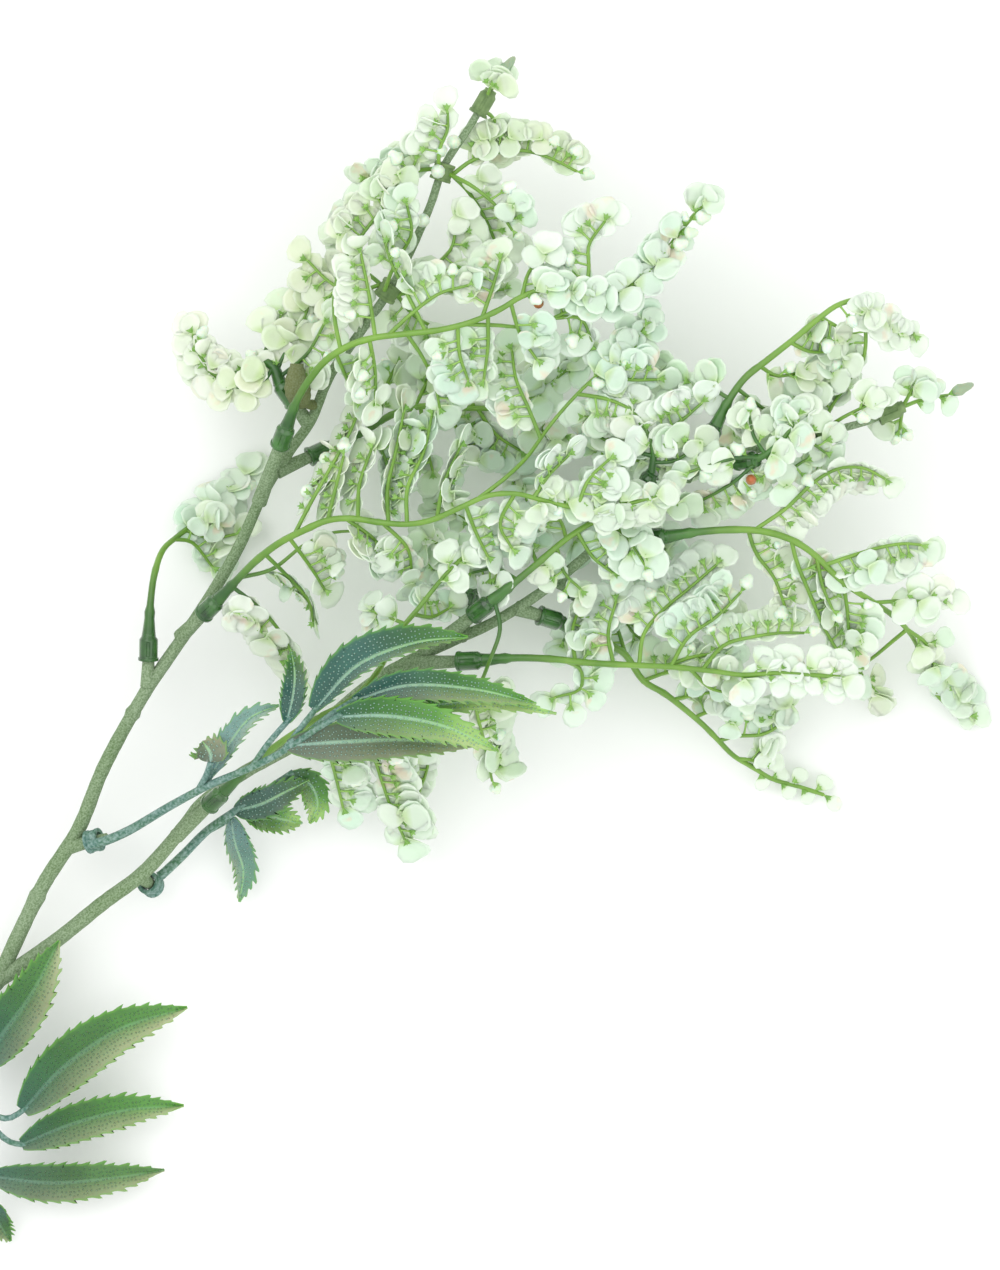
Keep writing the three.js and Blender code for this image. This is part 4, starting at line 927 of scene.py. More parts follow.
def makeStemMaterial():
    look = stemFinish
    material, tree, surface = newMaterial("flockedStem", Roughness=0.95, Specular_IOR_Level=0.2)
    broad = addMottle(tree, look["moss"], look["middle"], size=45, softness=0.2)
    speckle = addMottle(tree, look["dark"], look["pale"], size=2300, softness=0.12)
    base = mixColours(tree, 0.36, broad["Color"], speckle["Color"])
    bark = mixColours(tree, readAttribute(tree, "bark"), base, look["bark"])
    finishSurface(tree, surface, bark, (1500, 0.9))
    return material


# the cut end of the steel wire, with a little rust
wireFinish = {"rust": paint(120, 104, 90), "steel": paint(168, 168, 166)}


def makeWireMaterial():
    look = wireFinish
    material, tree, surface = newMaterial("wire", Metallic=1, Roughness=0.4)
    tone = addMottle(tree, look["rust"], look["steel"], size=1800, softness=0.2)
    finishSurface(tree, surface, tone["Color"], (2500, 0.5))
    return material


petioleFinish = {
    "blue": paint(70, 112, 110), "green": paint(66, 112, 66), "bloom": paint(186, 210, 206),
}


def makePetioleMaterial():
    look = petioleFinish
    material, tree, surface = newMaterial("petiole", Roughness=0.6, Specular_IOR_Level=0.4)
    base = addMottle(tree, look["green"], look["blue"], size=110, softness=0.3)
    bloom = addMottle(tree, look["green"], look["bloom"], size=1300, softness=0.2)
    cover = spread(tree, bloom["Mask"], 0.2, 1, 0, 0.45)
    finishSurface(tree, surface, mixColours(tree, cover, base["Color"], look["bloom"]), (800, 0.5))
    return material


leafFinish = {
    "teal": paint(38, 96, 82), "green": paint(46, 106, 36), "light": paint(88, 152, 56),
    "tip": paint(160, 204, 112), "edge": paint(100, 168, 46), "ribLow": paint(140, 176, 164),
    # pale: the second half's beige tone, which also carries painted light on that half
    "ribHigh": paint(148, 200, 108), "brown": paint(96, 108, 88), "pale": paint(188, 186, 150),
    "dot": paint(166, 208, 190), "frost": paint(138, 176, 174), "patch": (0.5, 0.55, 0.55, 1),
    "dotEvenness": 0.55,
}


def makeLeafMaterial():
    look = leafFinish
    material, tree, surface = newMaterial(
        "leaf", Roughness=0.42, Specular_IOR_Level=0.5, Subsurface_Weight=0.1,
        Subsurface_Scale=0.001, Coat_Weight=0.15, Coat_Roughness=0.3)
    reach, tone, brown, lower, aside, vivid = [
        readAttribute(tree, name) for name in ("reach", "tone", "brown", "lower", "aside", "vivid")]
    # the ground colour runs from the stalk to the tip, then frost, brown and patches
    base = addRamp(tree, calculate(tree, "ADD", reach, tone), [
        (0, look["teal"]), (0.25, look["teal"]), (0.5, look["green"]), (0.82, look["light"]),
        (1, look["tip"])])
    frosted = mixColours(tree, spread(tree, brown, -1, 0, 0.75, 0), base, look["frost"])
    browned = mixColours(tree, brown, frosted, look["brown"])
    patches = addMottle(tree, look["patch"], (1, 1, 1, 1), size=160, softness=0.25)
    varied = mixColours(tree, 0.7, browned, patches["Color"], "MULTIPLY")
    # the second half is paler, outward and towards the tip: partly its own beige tone, partly
    # painted light on the lit half of the fold
    fading = multiply(tree, lower, spread(tree, reach, 0.05, 0.5, 0.2, 0.85))
    outward = multiply(tree, fading, spread(tree, aside, 0.15, 0.9, 0.25, 1))
    paleAndLitHalved = mixColours(tree, outward, varied, look["pale"])
    # the rib, the edge and the pale dots
    rib = multiply(tree, spread(tree, aside, 0.05, 0.14, 0.85, 0), vivid)
    ribbed = mixColours(tree, rib, paleAndLitHalved, mixColours(tree, reach, look["ribLow"], look["ribHigh"]))
    edged = mixColours(tree, spread(tree, aside, 0.88, 1, 0, 0.6), ribbed, look["edge"])
    place = addNode(tree, "ShaderNodeUVMap", uv_map="leafMap").outputs["UV"]
    dots = addNode(
        tree, "ShaderNodeTexVoronoi",
        {"Vector": place, "Scale": 1, "Randomness": look["dotEvenness"]}, voronoi_dimensions="2D")
    dot = spread(tree, dots.outputs["Distance"], 0.1, 0.24, 1, 0)
    inside = multiply(tree, dot, spread(tree, aside, 0.72, 0.86, 1, 0))
    dotted = multiply(tree, inside, multiply(tree, vivid, 0.7))
    tree.links.new(mixColours(tree, dotted, edged, look["dot"]), surface["Base Color"])
    raised = addNode(tree, "ShaderNodeBump", {
        "Height": inside, "Strength": 0.9, "Distance": 0.4 * millimetre,
        "Normal": addRelief(tree, 1100, 0.4)})
    tree.links.new(raised.outputs["Normal"], surface["Normal"])
    return material


petalMaterial = makePetalMaterial()
budMaterial = makeBudMaterial()
twigMaterial = makeTwigMaterial()
calyxMaterial = makeMouldedMaterial("calyx")
sleeveMaterial = makeMouldedMaterial("sleeve")
collarMaterial = makeMouldedMaterial("collar")
stemMaterial = makeStemMaterial()
petioleMaterial = makePetioleMaterial()
leafMaterial = makeLeafMaterial()
wireMaterial = makeWireMaterial()
print("materials are ready")


# Shapes that repeat: petals of three forms, a bud, a calyx
petalShape = {
    "radius": 3.5, "sides": 12, "rim": 0.9, "thickness": 0.2, "reach": 0.92, "shift": 0.15,
    "start": 0.6, "uneven": 0.07, "unevenWaves": 2.3, "clawWidth": 0.5,
    "forms": {
        "flat": {"sink": 0.12, "dip": 0.06, "wave": 0.22, "waves": 3, "notch": 0.1, "curl": 0.01},
        "cupped": {"sink": 0.28, "dip": 0.12, "wave": 0.2, "waves": 2, "notch": 0.04, "curl": 0.03},
        "folded": {"sink": 0.2, "dip": 0.1, "wave": 0.4, "waves": 2, "notch": 0.22, "curl": 0.08},
    },
}


def shapePetal(form):
    s = petalShape
    f = s["forms"][form]
    clearSelection()
    bpy.ops.mesh.primitive_circle_add(vertices=s["sides"], radius=s["radius"], fill_type="NGON")
    petal = startShaping()
    selectFaces(petal, lambda face: True)
    insetBy(s["rim"])
    bpy.ops.transform.translate(value=(0, -s["shift"], -f["sink"]))
    bpy.ops.mesh.poke(offset=0)
    stopShaping()
    lowest = min(v.co.z for v in petal.data.vertices)
    for v in petal.data.vertices:
        angle = math.atan2(v.co.x, v.co.y)
        out = math.hypot(v.co.x, v.co.y) / s["radius"]
        if out > 0.9:
            v.co.z += f["wave"] * math.sin(f["waves"] * angle + s["start"])
            notch = f["notch"] * max(0, math.cos(angle)) ** 6
            shrink = 1 - notch + s["uneven"] * math.sin(s["unevenWaves"] * angle)
            v.co.x *= shrink
            v.co.y *= shrink
        elif out < 0.1:
            v.co.z = lowest - f["dip"]
        v.co.z += f["curl"] * v.co.x ** 2
    middle = s["radius"] * s["reach"]
    for v in petal.data.vertices:
        v.co.y += middle
        narrowing = (1 - s["clawWidth"]) * fadeBetween(-0.4, s["radius"] * 0.8, v.co.y)
        v.co.x *= s["clawWidth"] + narrowing
    rims = [math.hypot(v.co.x, v.co.y - middle) / s["radius"] for v in petal.data.vertices]
    # the claw share marks the petal's base, where the see-through shade is painted
    clawShades = [1 - fadeBetween(0, s["radius"], v.co.y) for v in petal.data.vertices]
    setAttribute(petal.data, "rim", rims)
    setAttribute(petal.data, "clawShade", clawShades)
    refine(petal, "SOLIDIFY", thickness=s["thickness"], offset=0)
    return takeMesh(petal, "petal_" + form, petalMaterial)


budShape = {"radius": 1.95, "segments": 10, "rings": 7, "length": 1.12, "tip": 0.75, "tipFrom": 1.3}


def shapeBud():
    s = budShape
    clearSelection()
    bpy.ops.mesh.primitive_uv_sphere_add(
        segments=s["segments"], ring_count=s["rings"], radius=s["radius"],
        location=(0, 0, s["radius"]))
    bud = startShaping()
    selectFaces(bud, lambda face: face.calc_center_median().z > s["radius"] * s["tipFrom"])
    resizeBy(s["tip"], s["tip"], s["length"])
    stopShaping()
    return takeMesh(bud, "bud", budMaterial)


calyxShape = {
    "points": 5, "foot": 0.36, "mouth": 0.52, "height": 1, "star": 1.15, "lift": 0.3, "sink": 0.25,
}


def shapeCalyx():
    s = calyxShape
    clearSelection()
    bpy.ops.mesh.primitive_cone_add(
        vertices=s["points"] * 2, radius1=s["foot"], radius2=s["mouth"], depth=s["height"],
        location=(0, 0, s["height"] / 2))
    calyx = startShaping()
    selectFaces(calyx, facesUp)
    bpy.ops.mesh.poke(offset=-s["sink"])
    stopShaping()
    brim = [v for v in calyx.data.vertices
            if v.co.z > s["height"] * 0.9 and v.co.to_2d().length > s["mouth"] / 2]
    brim.sort(key=lambda v: math.atan2(v.co.y, v.co.x))
    for v in brim[::2]:
        v.co.x *= s["star"] / s["mouth"]
        v.co.y *= s["star"] / s["mouth"]
        v.co.z += s["lift"]
    return takeMesh(calyx, "calyx", calyxMaterial, isSmooth=False)


petalMeshes = [shapePetal(form) for form in petalShape["forms"]]
budMesh = shapeBud()
calyxMesh = shapeCalyx()
print("petal, bud and calyx are shaped")


# The socket at the foot of a spray, pushed on its peg
sleeveShape = {
    "sides": 16, "lip": 2.6, "lipLength": 0.8, "barrel": 2.35, "length": 7, "shoulder": 5.4,
    "cone": 0.88, "neckLength": 0.72, "neck": 1.7, "bore": 1.7, "depth": 4.6, "edge": 0.12,
    "window": 0.4, "windowEdge": 0.12, "windowDepth": 0.35,
}


def shapeSleeve():
    s = sleeveShape
    clearSelection()
    bpy.ops.mesh.primitive_cylinder_add(
        vertices=s["sides"], radius=s["lip"], depth=s["lipLength"],
        location=(0, 0, s["lipLength"] / 2))
    sleeve = startShaping()
    selectFaces(sleeve, facesUp)
    insetBy(s["lip"] - s["barrel"])
    extrudeUp(s["shoulder"] - s["lipLength"])
    extrudeUp(s["cone"])
    narrow = s["neck"] / s["barrel"]
    resizeBy(narrow, narrow, 1)
    extrudeUp(s["neckLength"])
    for turn in (1, -1):
        selectFaces(sleeve, lambda face: face.normal.y * turn > 0.9
                    and s["lipLength"] < face.calc_center_median().z < s["shoulder"])
        insetBy(s["window"])
        insetBy(s["windowEdge"], -s["windowDepth"])
    selectFaces(sleeve, lambda face: face.normal.z < -0.9 and face.calc_center_median().z < 0.1)
    insetBy(s["lip"] - s["bore"])
    extrudeUp(s["depth"])
    stopShaping()
    refine(sleeve, "BEVEL", width=s["edge"], segments=2, limit_method="ANGLE")
    return takeMesh(sleeve, "sleeve", sleeveMaterial)


# A ring threaded on a branch or a peg, with a bead at each end
collarShape = {
    "sides": 18, "wall": 0.85, "bead": 0.2, "beadLength": 0.8, "step": 0.05, "edge": 0.12,
}


def shapeCollar(bore, length, material):
    s = collarShape
    outer = bore + s["wall"]
    beaded = outer + s["bead"]
    clearSelection()
    bpy.ops.mesh.primitive_cylinder_add(
        vertices=s["sides"], radius=beaded, depth=s["beadLength"],
        location=(0, 0, s["beadLength"] / 2))
    ring = startShaping()
    selectFaces(ring, facesUp)
    insetBy(s["bead"])
    extrudeUp(length - 2 * s["beadLength"])
    extrudeUp(s["step"])
    resizeBy(beaded / outer, beaded / outer, 1)
    extrudeUp(s["beadLength"] - s["step"])
    selectFaces(ring, lambda face: abs(face.normal.z) > 0.9 and len(face.verts) == s["sides"])
    insetBy(s["wall"] + s["bead"])
    bpy.ops.mesh.bridge_edge_loops()
    stopShaping()
    refine(ring, "BEVEL", width=s["edge"], segments=2, limit_method="ANGLE")
    return takeMesh(ring, "collar", material)


sleeveMesh = shapeSleeve()
print("sleeve is shaped")


# Flowers along a twig stand like the teeth of a comb: a pedicel, a calyx at its end, and round
# petals that overlap into a band. An open comb shows its twig and calyxes, with the petals
# behind, and an edge comb stands upright, so its band looks narrow from above.
flowering = {
    "spacing": 3.1, "thickSpacing": 2.3, "clear": 3.5, "jitter": 0.15,
    "pedicel": (3, 4.2), "shortPedicel": (1, 1.8), "slimPedicel": (0.5, 1), "lastPedicel": 0.8,
    "shortening": 0.35, "pedicelRadius": 0.3, "pedicelForm": (1.2, 0.85, 1), "pedicelBend": 0.1,
    "seat": 0.4, "calyxTilt": 0.7,
    "combTilt": 0.45, "edgeTilt": (0.95, 1.3), "twist": 0.35, "tiltJitter": 0.08,
    "lean": (0.1, 0.35), "bothLean": (0.7, 1.3), "lastLean": 0.25,
    "size": (0.88, 1.12), "large": 1.25, "slimSize": 0.7, "stretch": (0.92, 1.1), "tip": 0.13,
    "turn": 0.4, "slimTurn": 0.3, "thirdTurn": 1.3, "tones": 0.84, "toneJitter": 0.14,
    "third": 0.5, "front": 0.1, "closedFront": 0.6, "standing": 0.12, "gap": 0.45, "far": 1.1,
    "nearShare": 0.4, "nearDepth": 2, "nearSize": 0.85, "ahead": 1.2, "aheadLean": (-1, 0.3),
    "aheadDepth": 0.6, "aheadSize": 0.9, "thirdDepth": 2.8, "thirdSize": 0.95,
    "standingLean": 0.8, "standingSize": 0.85,
    "buds": 0.13, "budSize": (0.75, 1.08), "pointed": (0.85, 0.85, 1.6, 1), "lone": 0.95,
    "brownBud": 0.72, "tableGap": 0.25, "mostLift": 3, "ceiling": 65.2,
}


def addShape(things, shape, place, tint=None):
    # what would sink into the table is raised onto it, or left out
    corners = [place @ Vector(c) for c in boxCorners[shape.name]]
    low = flowering["tableGap"] - min(c.z for c in corners)
    if low > flowering["mostLift"]:
        return
    if low > 0:
        place = Matrix.Translation((0, 0, low)) @ place
    if max(c.z for c in corners) > flowering["ceiling"]:
        return
    things.append(placeCopy(shape, place, tint))


def cornersOf(mesh):
    xs, ys, zs = zip(*(v.co for v in mesh.vertices))
    return [(x, y, z) for x in (min(xs), max(xs)) for y in (min(ys), max(ys))
            for z in (min(zs), max(zs))]


boxCorners = {mesh.name: cornersOf(mesh) for mesh in (*petalMeshes, budMesh, calyxMesh)}


def addPetal(petals, seat, along, normal, size, tone, luck):
    f = flowering
    shape = luck.choice(petalMeshes)
    stretch = luck.uniform(*f["stretch"])
    nod, roll = luck.uniform(-f["tip"], f["tip"]), luck.uniform(-f["tip"], f["tip"])
    tipped = (normal + along * nod + along.cross(normal) * roll).normalized()
    scale = Matrix.Diagonal((size * stretch, size / stretch, size, 1))
    tint = tone + luck.uniform(-f["toneJitter"], f["toneJitter"])
    addShape(petals, shape, frameAt(seat, along, tipped) @ scale, min(1, max(0, tint)))


def turned(direction, normal, reach, luck):
    return Matrix.Rotation(luck.uniform(-reach, reach), 3, normal) @ direction


def addFloret(petals, seat, outward, along, normal, manner, tone, luck):
    f = flowering
    size = luck.uniform(*f["size"]) * (f["large"] if "large" in manner else 1)

    def add(at, direction, turn, above, share):
        way = turned(direction, normal, turn, luck) if turn else direction
        addPetal(petals, at, way, above, size * share, tone, luck)

    if "slim" in manner:
        add(seat, outward, f["slimTurn"], normal, f["slimSize"])
        return
    # mostly behind the pedicels where the comb is open, else in front of them
    isOpen = "open" in manner or "edge" in manner
    isBehind = luck.random() > f["front" if isOpen else "closedFront"]
    depth = normal * f["gap"] * (-1 if isBehind else 1)
    if "both" in manner:
        add(seat + depth, outward, f["turn"], normal, 1)
        ahead = (along * f["ahead"] + outward * luck.uniform(*f["aheadLean"])).normalized()
        before = seat - outward * f["ahead"] - depth * f["aheadDepth"]
        add(before, ahead, 0, normal, f["aheadSize"])
    else:
        add(seat - outward * f["far"] + depth, outward, f["turn"], normal, 1)
        near = seat + outward * f["far"] * f["nearShare"] + depth * f["nearDepth"]
        add(near, -outward, f["turn"], normal, f["nearSize"])
    if luck.random() < f["third"] or "thick" in manner:
        add(seat + depth * f["thirdDepth"], outward, f["thirdTurn"], normal, f["thirdSize"])
    if luck.random() < f["standing"]:
        upright = (normal + outward * f["standingLean"]).normalized()
        add(seat, upright, 0, along, f["standingSize"])


def combTilt(manner, luck):
    f = flowering
    if "edge" in manner:
        return luck.uniform(*f["edgeTilt"]) * luck.choice((-1, -1, 1))
    return luck.uniform(-f["combTilt"], f["combTilt"])


def dressRoute(route, bare, manner, petals, calyxes, pedicels, luck):
    f = flowering
    bare = max(bare, f["clear"] / routeLength(route))
    length = routeLength(route) * (1 - bare)
    count = max(2, round(length / f["thickSpacing" if "thick" in manner else "spacing"]))
    firstTilt = combTilt(manner, luck)
    twist = luck.uniform(-f["twist"], f["twist"])
    tone = luck.uniform(0, f["tones"])
    for i in range(count + 1):
        place = (i + luck.uniform(-f["jitter"], f["jitter"])) / count
        root, along = pointOn(route, bare + (1 - bare) * min(1, place))
        right = along.cross(up)
        if right.length < 0.05:
            right = Vector((1, 0, 0))
        right.normalize()
        above = right.cross(along).normalized()
        hand = {"left": -1, "right": 1}.get(manner.split()[0], 1 if i % 2 == 0 else -1)
        tilt = firstTilt + twist * i / count + luck.uniform(-f["tiltJitter"], f["tiltJitter"])
        side = right * hand * math.cos(tilt) + above * math.sin(tilt)
        normal = side.cross(along) if side.cross(along).z > 0 else along.cross(side)
        normal.normalize()
        if "both" in manner or "slim" in manner:
            isShort = "slim" in manner or "thick" in manner
            lean = luck.uniform(*f["bothLean"])
            reach = luck.uniform(*f["slimPedicel" if isShort else "shortPedicel"])
        else:
            lean = luck.uniform(*f["lean"])
            reach = luck.uniform(*f["pedicel"]) * (1 - f["shortening"] * i / count)
        outward = (side + along * lean).normalized()
        if i == count:
            outward = (along + side * f["lastLean"]).normalized()
            reach = f["lastPedicel"]
        tip = root + outward * reach
        bend = root + outward * reach * 0.5 + normal * f["pedicelBend"]
        radii = [f["pedicelRadius"] * share for share in f["pedicelForm"]]
        pedicels.append(([root, bend, tip], radii))
        opening = (outward + normal * f["calyxTilt"]).normalized()
        addShape(calyxes, calyxMesh, standAt(tip, opening))
        seat = tip + outward * f["seat"]
        if i == count and "pointed" in manner:
            addShape(petals, budMesh, standAt(seat, outward) @ Matrix.Diagonal(f["pointed"]), -1)
        elif luck.random() < f["buds"]:
            bud = standAt(seat, outward) @ Matrix.Scale(luck.uniform(*f["budSize"]), 4)
            addShape(petals, budMesh, bud, tone)
        else:
            addFloret(petals, seat, outward, along, normal, manner, tone, luck)


rodShape = {
    "step": 1.6, "rachis": 0.98, "rachisTip": 0.5, "cone": 1.6, "coneLength": 8, "coneFrom": 30,
    "knuckle": 0.35, "knuckleWidth": 1.1, "joint": 0.14, "jointSpacing": 17, "jointWidth": 0.9,
    "twig": 0.56, "twigTip": 0.36, "young": 26,
}


def rachisRadii(route):
    # a cone behind the sleeve with a small knuckle, then an even taper with slight joints
    r = rodShape
    total = routeLength(route)
    radii = []
    for i in range(len(route)):
        gone = total * i / (len(route) - 1)
        plain = r["rachis"] + (r["rachisTip"] - r["rachis"]) * gone / total
        if total > r["coneFrom"]:
            plain += (r["cone"] - plain) * (1 - fadeBetween(1, r["coneLength"], gone))
            knuckle = (gone - r["coneLength"] * 0.8) / r["knuckleWidth"]
            plain += r["knuckle"] * math.exp(-knuckle ** 2)
        joint = ((gone + 3) % r["jointSpacing"] - 3) / r["jointWidth"]
        radii.append(plain * (1 + r["joint"] * math.exp(-joint ** 2)))
    return radii


def growTwigs(rods, chains, twigs, findWay):
    for bare, manner, points in twigs:
        twig = smoothRoute(findWay(points), rodShape["step"])
        rods.append((twig, taper(twig, rodShape["twig"], rodShape["twigTip"])))
        chains.append((twig, bare, manner))


# A flowering piece: its green parts, and petals and buds along its chains
def dressTwigs(name, rods, chains, socket, seed, hasSleeve=False):
    luck = random.Random(seed)
    petals, calyxes, pedicels = [], [], []
    for route, bare, manner in chains:
        dressRoute(route, bare, manner, petals, calyxes, pedicels, luck)
    stalks = addRods(rods, twigMaterial, 2)
    start = rods[0][0][0]
    ages = [fadeBetween(0, rodShape["young"], (v.co - start).length) for v in stalks.data.vertices]
    setAttribute(stalks.data, "age", ages if hasSleeve else 1)
    thin = addRods(pedicels, twigMaterial, 0)
    setAttribute(thin.data, "age", 2)
    finishPiece(name + "_greens", [stalks, thin, *calyxes, socket], name)
    for at, tint in singleBuds.get(name, []):
        size = flowering["brownBud" if tint else "lone"]
        petals.append(placeCopy(budMesh, Matrix.Translation(at) @ Matrix.Scale(size, 4), tint))
    finishPiece(name + "_petals", petals, name)
    print(name, len(petals), "petals and buds")


# A spray: a sleeve, its rachis, the twigs that leave it, and flowers along them all
def buildSpray(name, spray, seed):
    base, end = Vector(spray["base"]), Vector(spray["end"])
    axis = (end - base).normalized()
    mouth = end - axis * sleeveShape["length"]
    rachis = smoothRoute([end - axis, *spray["rachis"]], rodShape["step"])
    rods = [(rachis, rachisRadii(rachis))]
    chains = [(rachis, spray["bare"], spray.get("manner", "both"))]
    growTwigs(rods, chains, spray["twigs"], lambda way: [nearestOn(rods, way[0]), *way[1:]])
    sleeve = placeCopy(sleeveMesh, standAt(mouth, axis))
    dressTwigs(name, rods, chains, sleeve, seed, hasSleeve=True)


for number, (name, spray) in enumerate(sprayRoutes.items()):
    buildSpray(name, spray, seeds["spray"] + number)
print("sprays are built")


# A whorl: a collar threaded on a branch, with twigs rooted in its wall
whorlShape = {"length": 4.5, "root": 0.78}


def rootIn(point, middle, axis, bore):
    radial = Vector(point) - middle
    radial -= axis * radial.dot(axis)
    return middle + radial.normalized() * (bore + whorlShape["root"])


def buildWhorl(name, whorl, seed):
    axis = Vector(whorl["along"]).normalized()
    at, bore, length = Vector(whorl["at"]), whorl["bore"], whorlShape["length"]
    middle = at + axis * length / 2
    ring = placeCopy(shapeCollar(bore, length, collarMaterial), standAt(at, axis))
    rods, chains = [], []
    growTwigs(rods, chains, whorl["twigs"], lambda way: [rootIn(way[0], middle, axis, bore), *way])
    dressTwigs(name, rods, chains, ring, seed)


for number, (name, whorl) in enumerate(whorlRoutes.items()):
    buildWhorl(name, whorl, seeds["whorl"] + number)


# A cap pushed on the tip of a branch
tipShape = {"bore": 1.6, "wall": 0.8}


def buildTip(name, tip, seed):
    axis = Vector(tip["along"]).normalized()
    narrow = (tipShape["bore"] + tipShape["wall"]) / sleeveShape["lip"]
    place = standAt(Vector(tip["mouth"]), axis) @ Matrix.Diagonal((narrow, narrow, 1, 1))
    rods, chains = [], []
    growTwigs(rods, chains, tip["twigs"], lambda way: way)
    cap = placeCopy(sleeveMesh, place)
    cap.data.materials[0] = collarMaterial
    dressTwigs(name, rods, chains, cap, seed)


for number, (name, tip) in enumerate(tipRoutes.items()):
    buildTip(name, tip, seeds["tip"] + number)
print("whorls and tips are built")


# Leaf sprigs: a collar on a peg, a long petiole, stalks and toothed leaflets
leafShape = {
    "routeStep": 0.5, "rowsPerTooth": 5, "columns": 12, "fold": 0.3, "thickness": 0.4,
    "fullness": 0.94, "narrowest": 0.2, "belly": 0.75, "roundness": 0.8, "plainFrom": 0.45,
    "thorn": 0.9, "thornLean": 1.5, "thornReach": 0.8, "thornSpread": (0.7, 1.15),
    "thornsAt": (0.06, 0.94), "ripple": 0.3, "ripples": 19, "ribRise": 0.28, "ribWidth": 0.1,
    "dotSpacing": 1.05, "smoothUnder": math.radians(50), "petiole": 1.25, "petioleTip": 0.8,
    "stalk": 0.8, "stalkTip": 0.72, "collarLength": 3.6, "bore": 1.96,
}


def shapeLeaf(points, width, teeth, tone, brown, pale, second, seed):
    s = leafShape
    luck = random.Random(seed)
    route = smoothRoute(points, s["routeStep"])
    length = routeLength(route)
    clearSelection()
    bpy.ops.mesh.primitive_grid_add(
        x_subdivisions=s["columns"], y_subdivisions=teeth * s["rowsPerTooth"], size=2)
    leaf = bpy.context.object
    mesh = leaf.data
    reach, aside, lower, flat = [], [], [], []
    phase = luck.uniform(0, 6)
    isPlain = pale > s["plainFrom"]
    thorns = [luck.uniform(*s["thornSpread"]) * s["thorn"] for i in range(2 * teeth + 2)]
    for v in mesh.vertices:
        # across runs over the blade from -1 to 1, u along it from 0 to 1
        across, u = v.co.x, (v.co.y + 1) / 2
        middle, along = pointOn(route, u)
        side = along.cross(up).normalized()
        lift = side.cross(along).normalized()
        outline = math.sin(math.pi * min(1, u * 0.97 + 0.03) ** s["belly"]) ** s["roundness"]
        half = max(s["narrowest"], width / 2 * outline * s["fullness"])
        half *= second if across > 0 else 1
        saw = (u * teeth + (0.5 if across > 0 else 0)) % 1
        spike = 0
        if abs(across) > 0.99 and s["thornsAt"][0] < u < s["thornsAt"][1]:
            spike = thorns[int(u * teeth) * 2 + (across > 0)] * fadeBetween(0.4, 0.8, saw)
            spike *= min(1, outline * 1.6)
        wave = s["ripple"] * math.sin(u * s["ripples"] + phase) * abs(across) ** 2
        rib = s["ribRise"] * math.exp(-(across / s["ribWidth"]) ** 2)
        outward = across * half + math.copysign(spike * s["thornReach"], across)
        v.co = middle + side * outward + along * spike * s["thornLean"] \
            + lift * (abs(across) * half * s["fold"] + wave + rib)
        reach.append(u * (0.5 if isPlain else 0.85))
        aside.append(abs(across))
        # the second half's pale share: its own beige tone and painted light on the lit half
        lower.append(pale if across > 0.05 else 0)
        flat.append((u * length / s["dotSpacing"], across * half / s["dotSpacing"]))
    for label, values in (("reach", reach), ("aside", aside), ("lower", lower), ("tone", tone),
                          ("brown", brown), ("vivid", 0.25 if isPlain else 1)):
        setAttribute(mesh, label, values)
    for layer in list(mesh.uv_layers):
        mesh.uv_layers.remove(layer)
    leafMap = mesh.uv_layers.new(name="leafMap")
    for loop in mesh.loops:
        leafMap.data[loop.index].uv = flat[loop.vertex_index]
    refine(leaf, "SOLIDIFY", thickness=s["thickness"], offset=0)
    bpy.ops.object.shade_smooth_by_angle(angle=s["smoothUnder"])
    giveMaterial(mesh, leafMaterial)
    return leaf


def buildLeafSprig(name, sprig, seed):
    s = leafShape
    base, pegEnd = Vector(sprig["base"]), Vector(sprig["pegEnd"])
    axis = (pegEnd - base).normalized()
    ringAt = base.lerp(pegEnd, sprig["collarAt"])
    root = rootIn(sprig["petiole"][0], ringAt + axis * s["collarLength"] / 2, axis, s["bore"])
    petiole = smoothRoute([root, *sprig["petiole"]], rodShape["step"])
    rods = [(petiole, taper(petiole, s["petiole"], s["petioleTip"]))]
    for points in sprig["stalks"]:
        stalk = smoothRoute([nearestOn(rods, points[0]), *points[1:]], rodShape["step"])
        rods.append((stalk, taper(stalk, s["stalk"], s["stalkTip"])))
    stalks = addRods(rods, petioleMaterial, 2)
    ring = shapeCollar(s["bore"], s["collarLength"], petioleMaterial)
    leaves = []
    for number, (*look, points) in enumerate(sprig["leaflets"]):
        start = nearestOn(rods, points[0])
        leaves.append(shapeLeaf([start, *points[1:]], *look, seed + number))
    finishPiece(name + "_stalks", [stalks, placeCopy(ring, standAt(ringAt, axis))], name)
    finishPiece(name + "_blades", leaves, name)


for number, (name, sprig) in enumerate(leafRoutes.items()):
    buildLeafSprig(name, sprig, seeds["leaf"] + seeds["leafStep"] * number)
print("leaf sprigs are built")


# The flocked stem: the lower stem, the branches, their rings and the pegs
stemShape = {
    "step": 1.5, "cutEnd": 2.2, "fork": 2.15, "branch": 2, "branchTip": 0.9, "side": 1.7,
    "sideTip": 1.5, "sag": ((60, 2.6), (150, 5.6)), "lump": 0.027, "ring": 0.5, "ringWidth": 0.8,
    "ringReach": 4, "pegRoot": 1.95, "pegMouth": 1.5, "pegTip": 1.15, "pegStep": 1,
    "sleeveFloor": 2, "tipGap": 0.8, "knob": 3.3, "knobStalk": 1.3, "knobStep": 0.7,
    "knobLump": (0.93, 1.06), "knobBark": 0.65, "wire": 0.75, "wireOut": 0.4, "wireIn": 2,
}
stemRings = [(35, 67.6, 16.4), (10, 21, 11.7), (-46, -52.8, 7.1), (-110, -126.8, 4.3)]
stemKnob = [(80.5, 145, 31), (78.5, 145.5, 34.5), (77, 146.8, 37.5), (76.2, 150.5, 38.5),
            (76.3, 155.2, 38.8)]


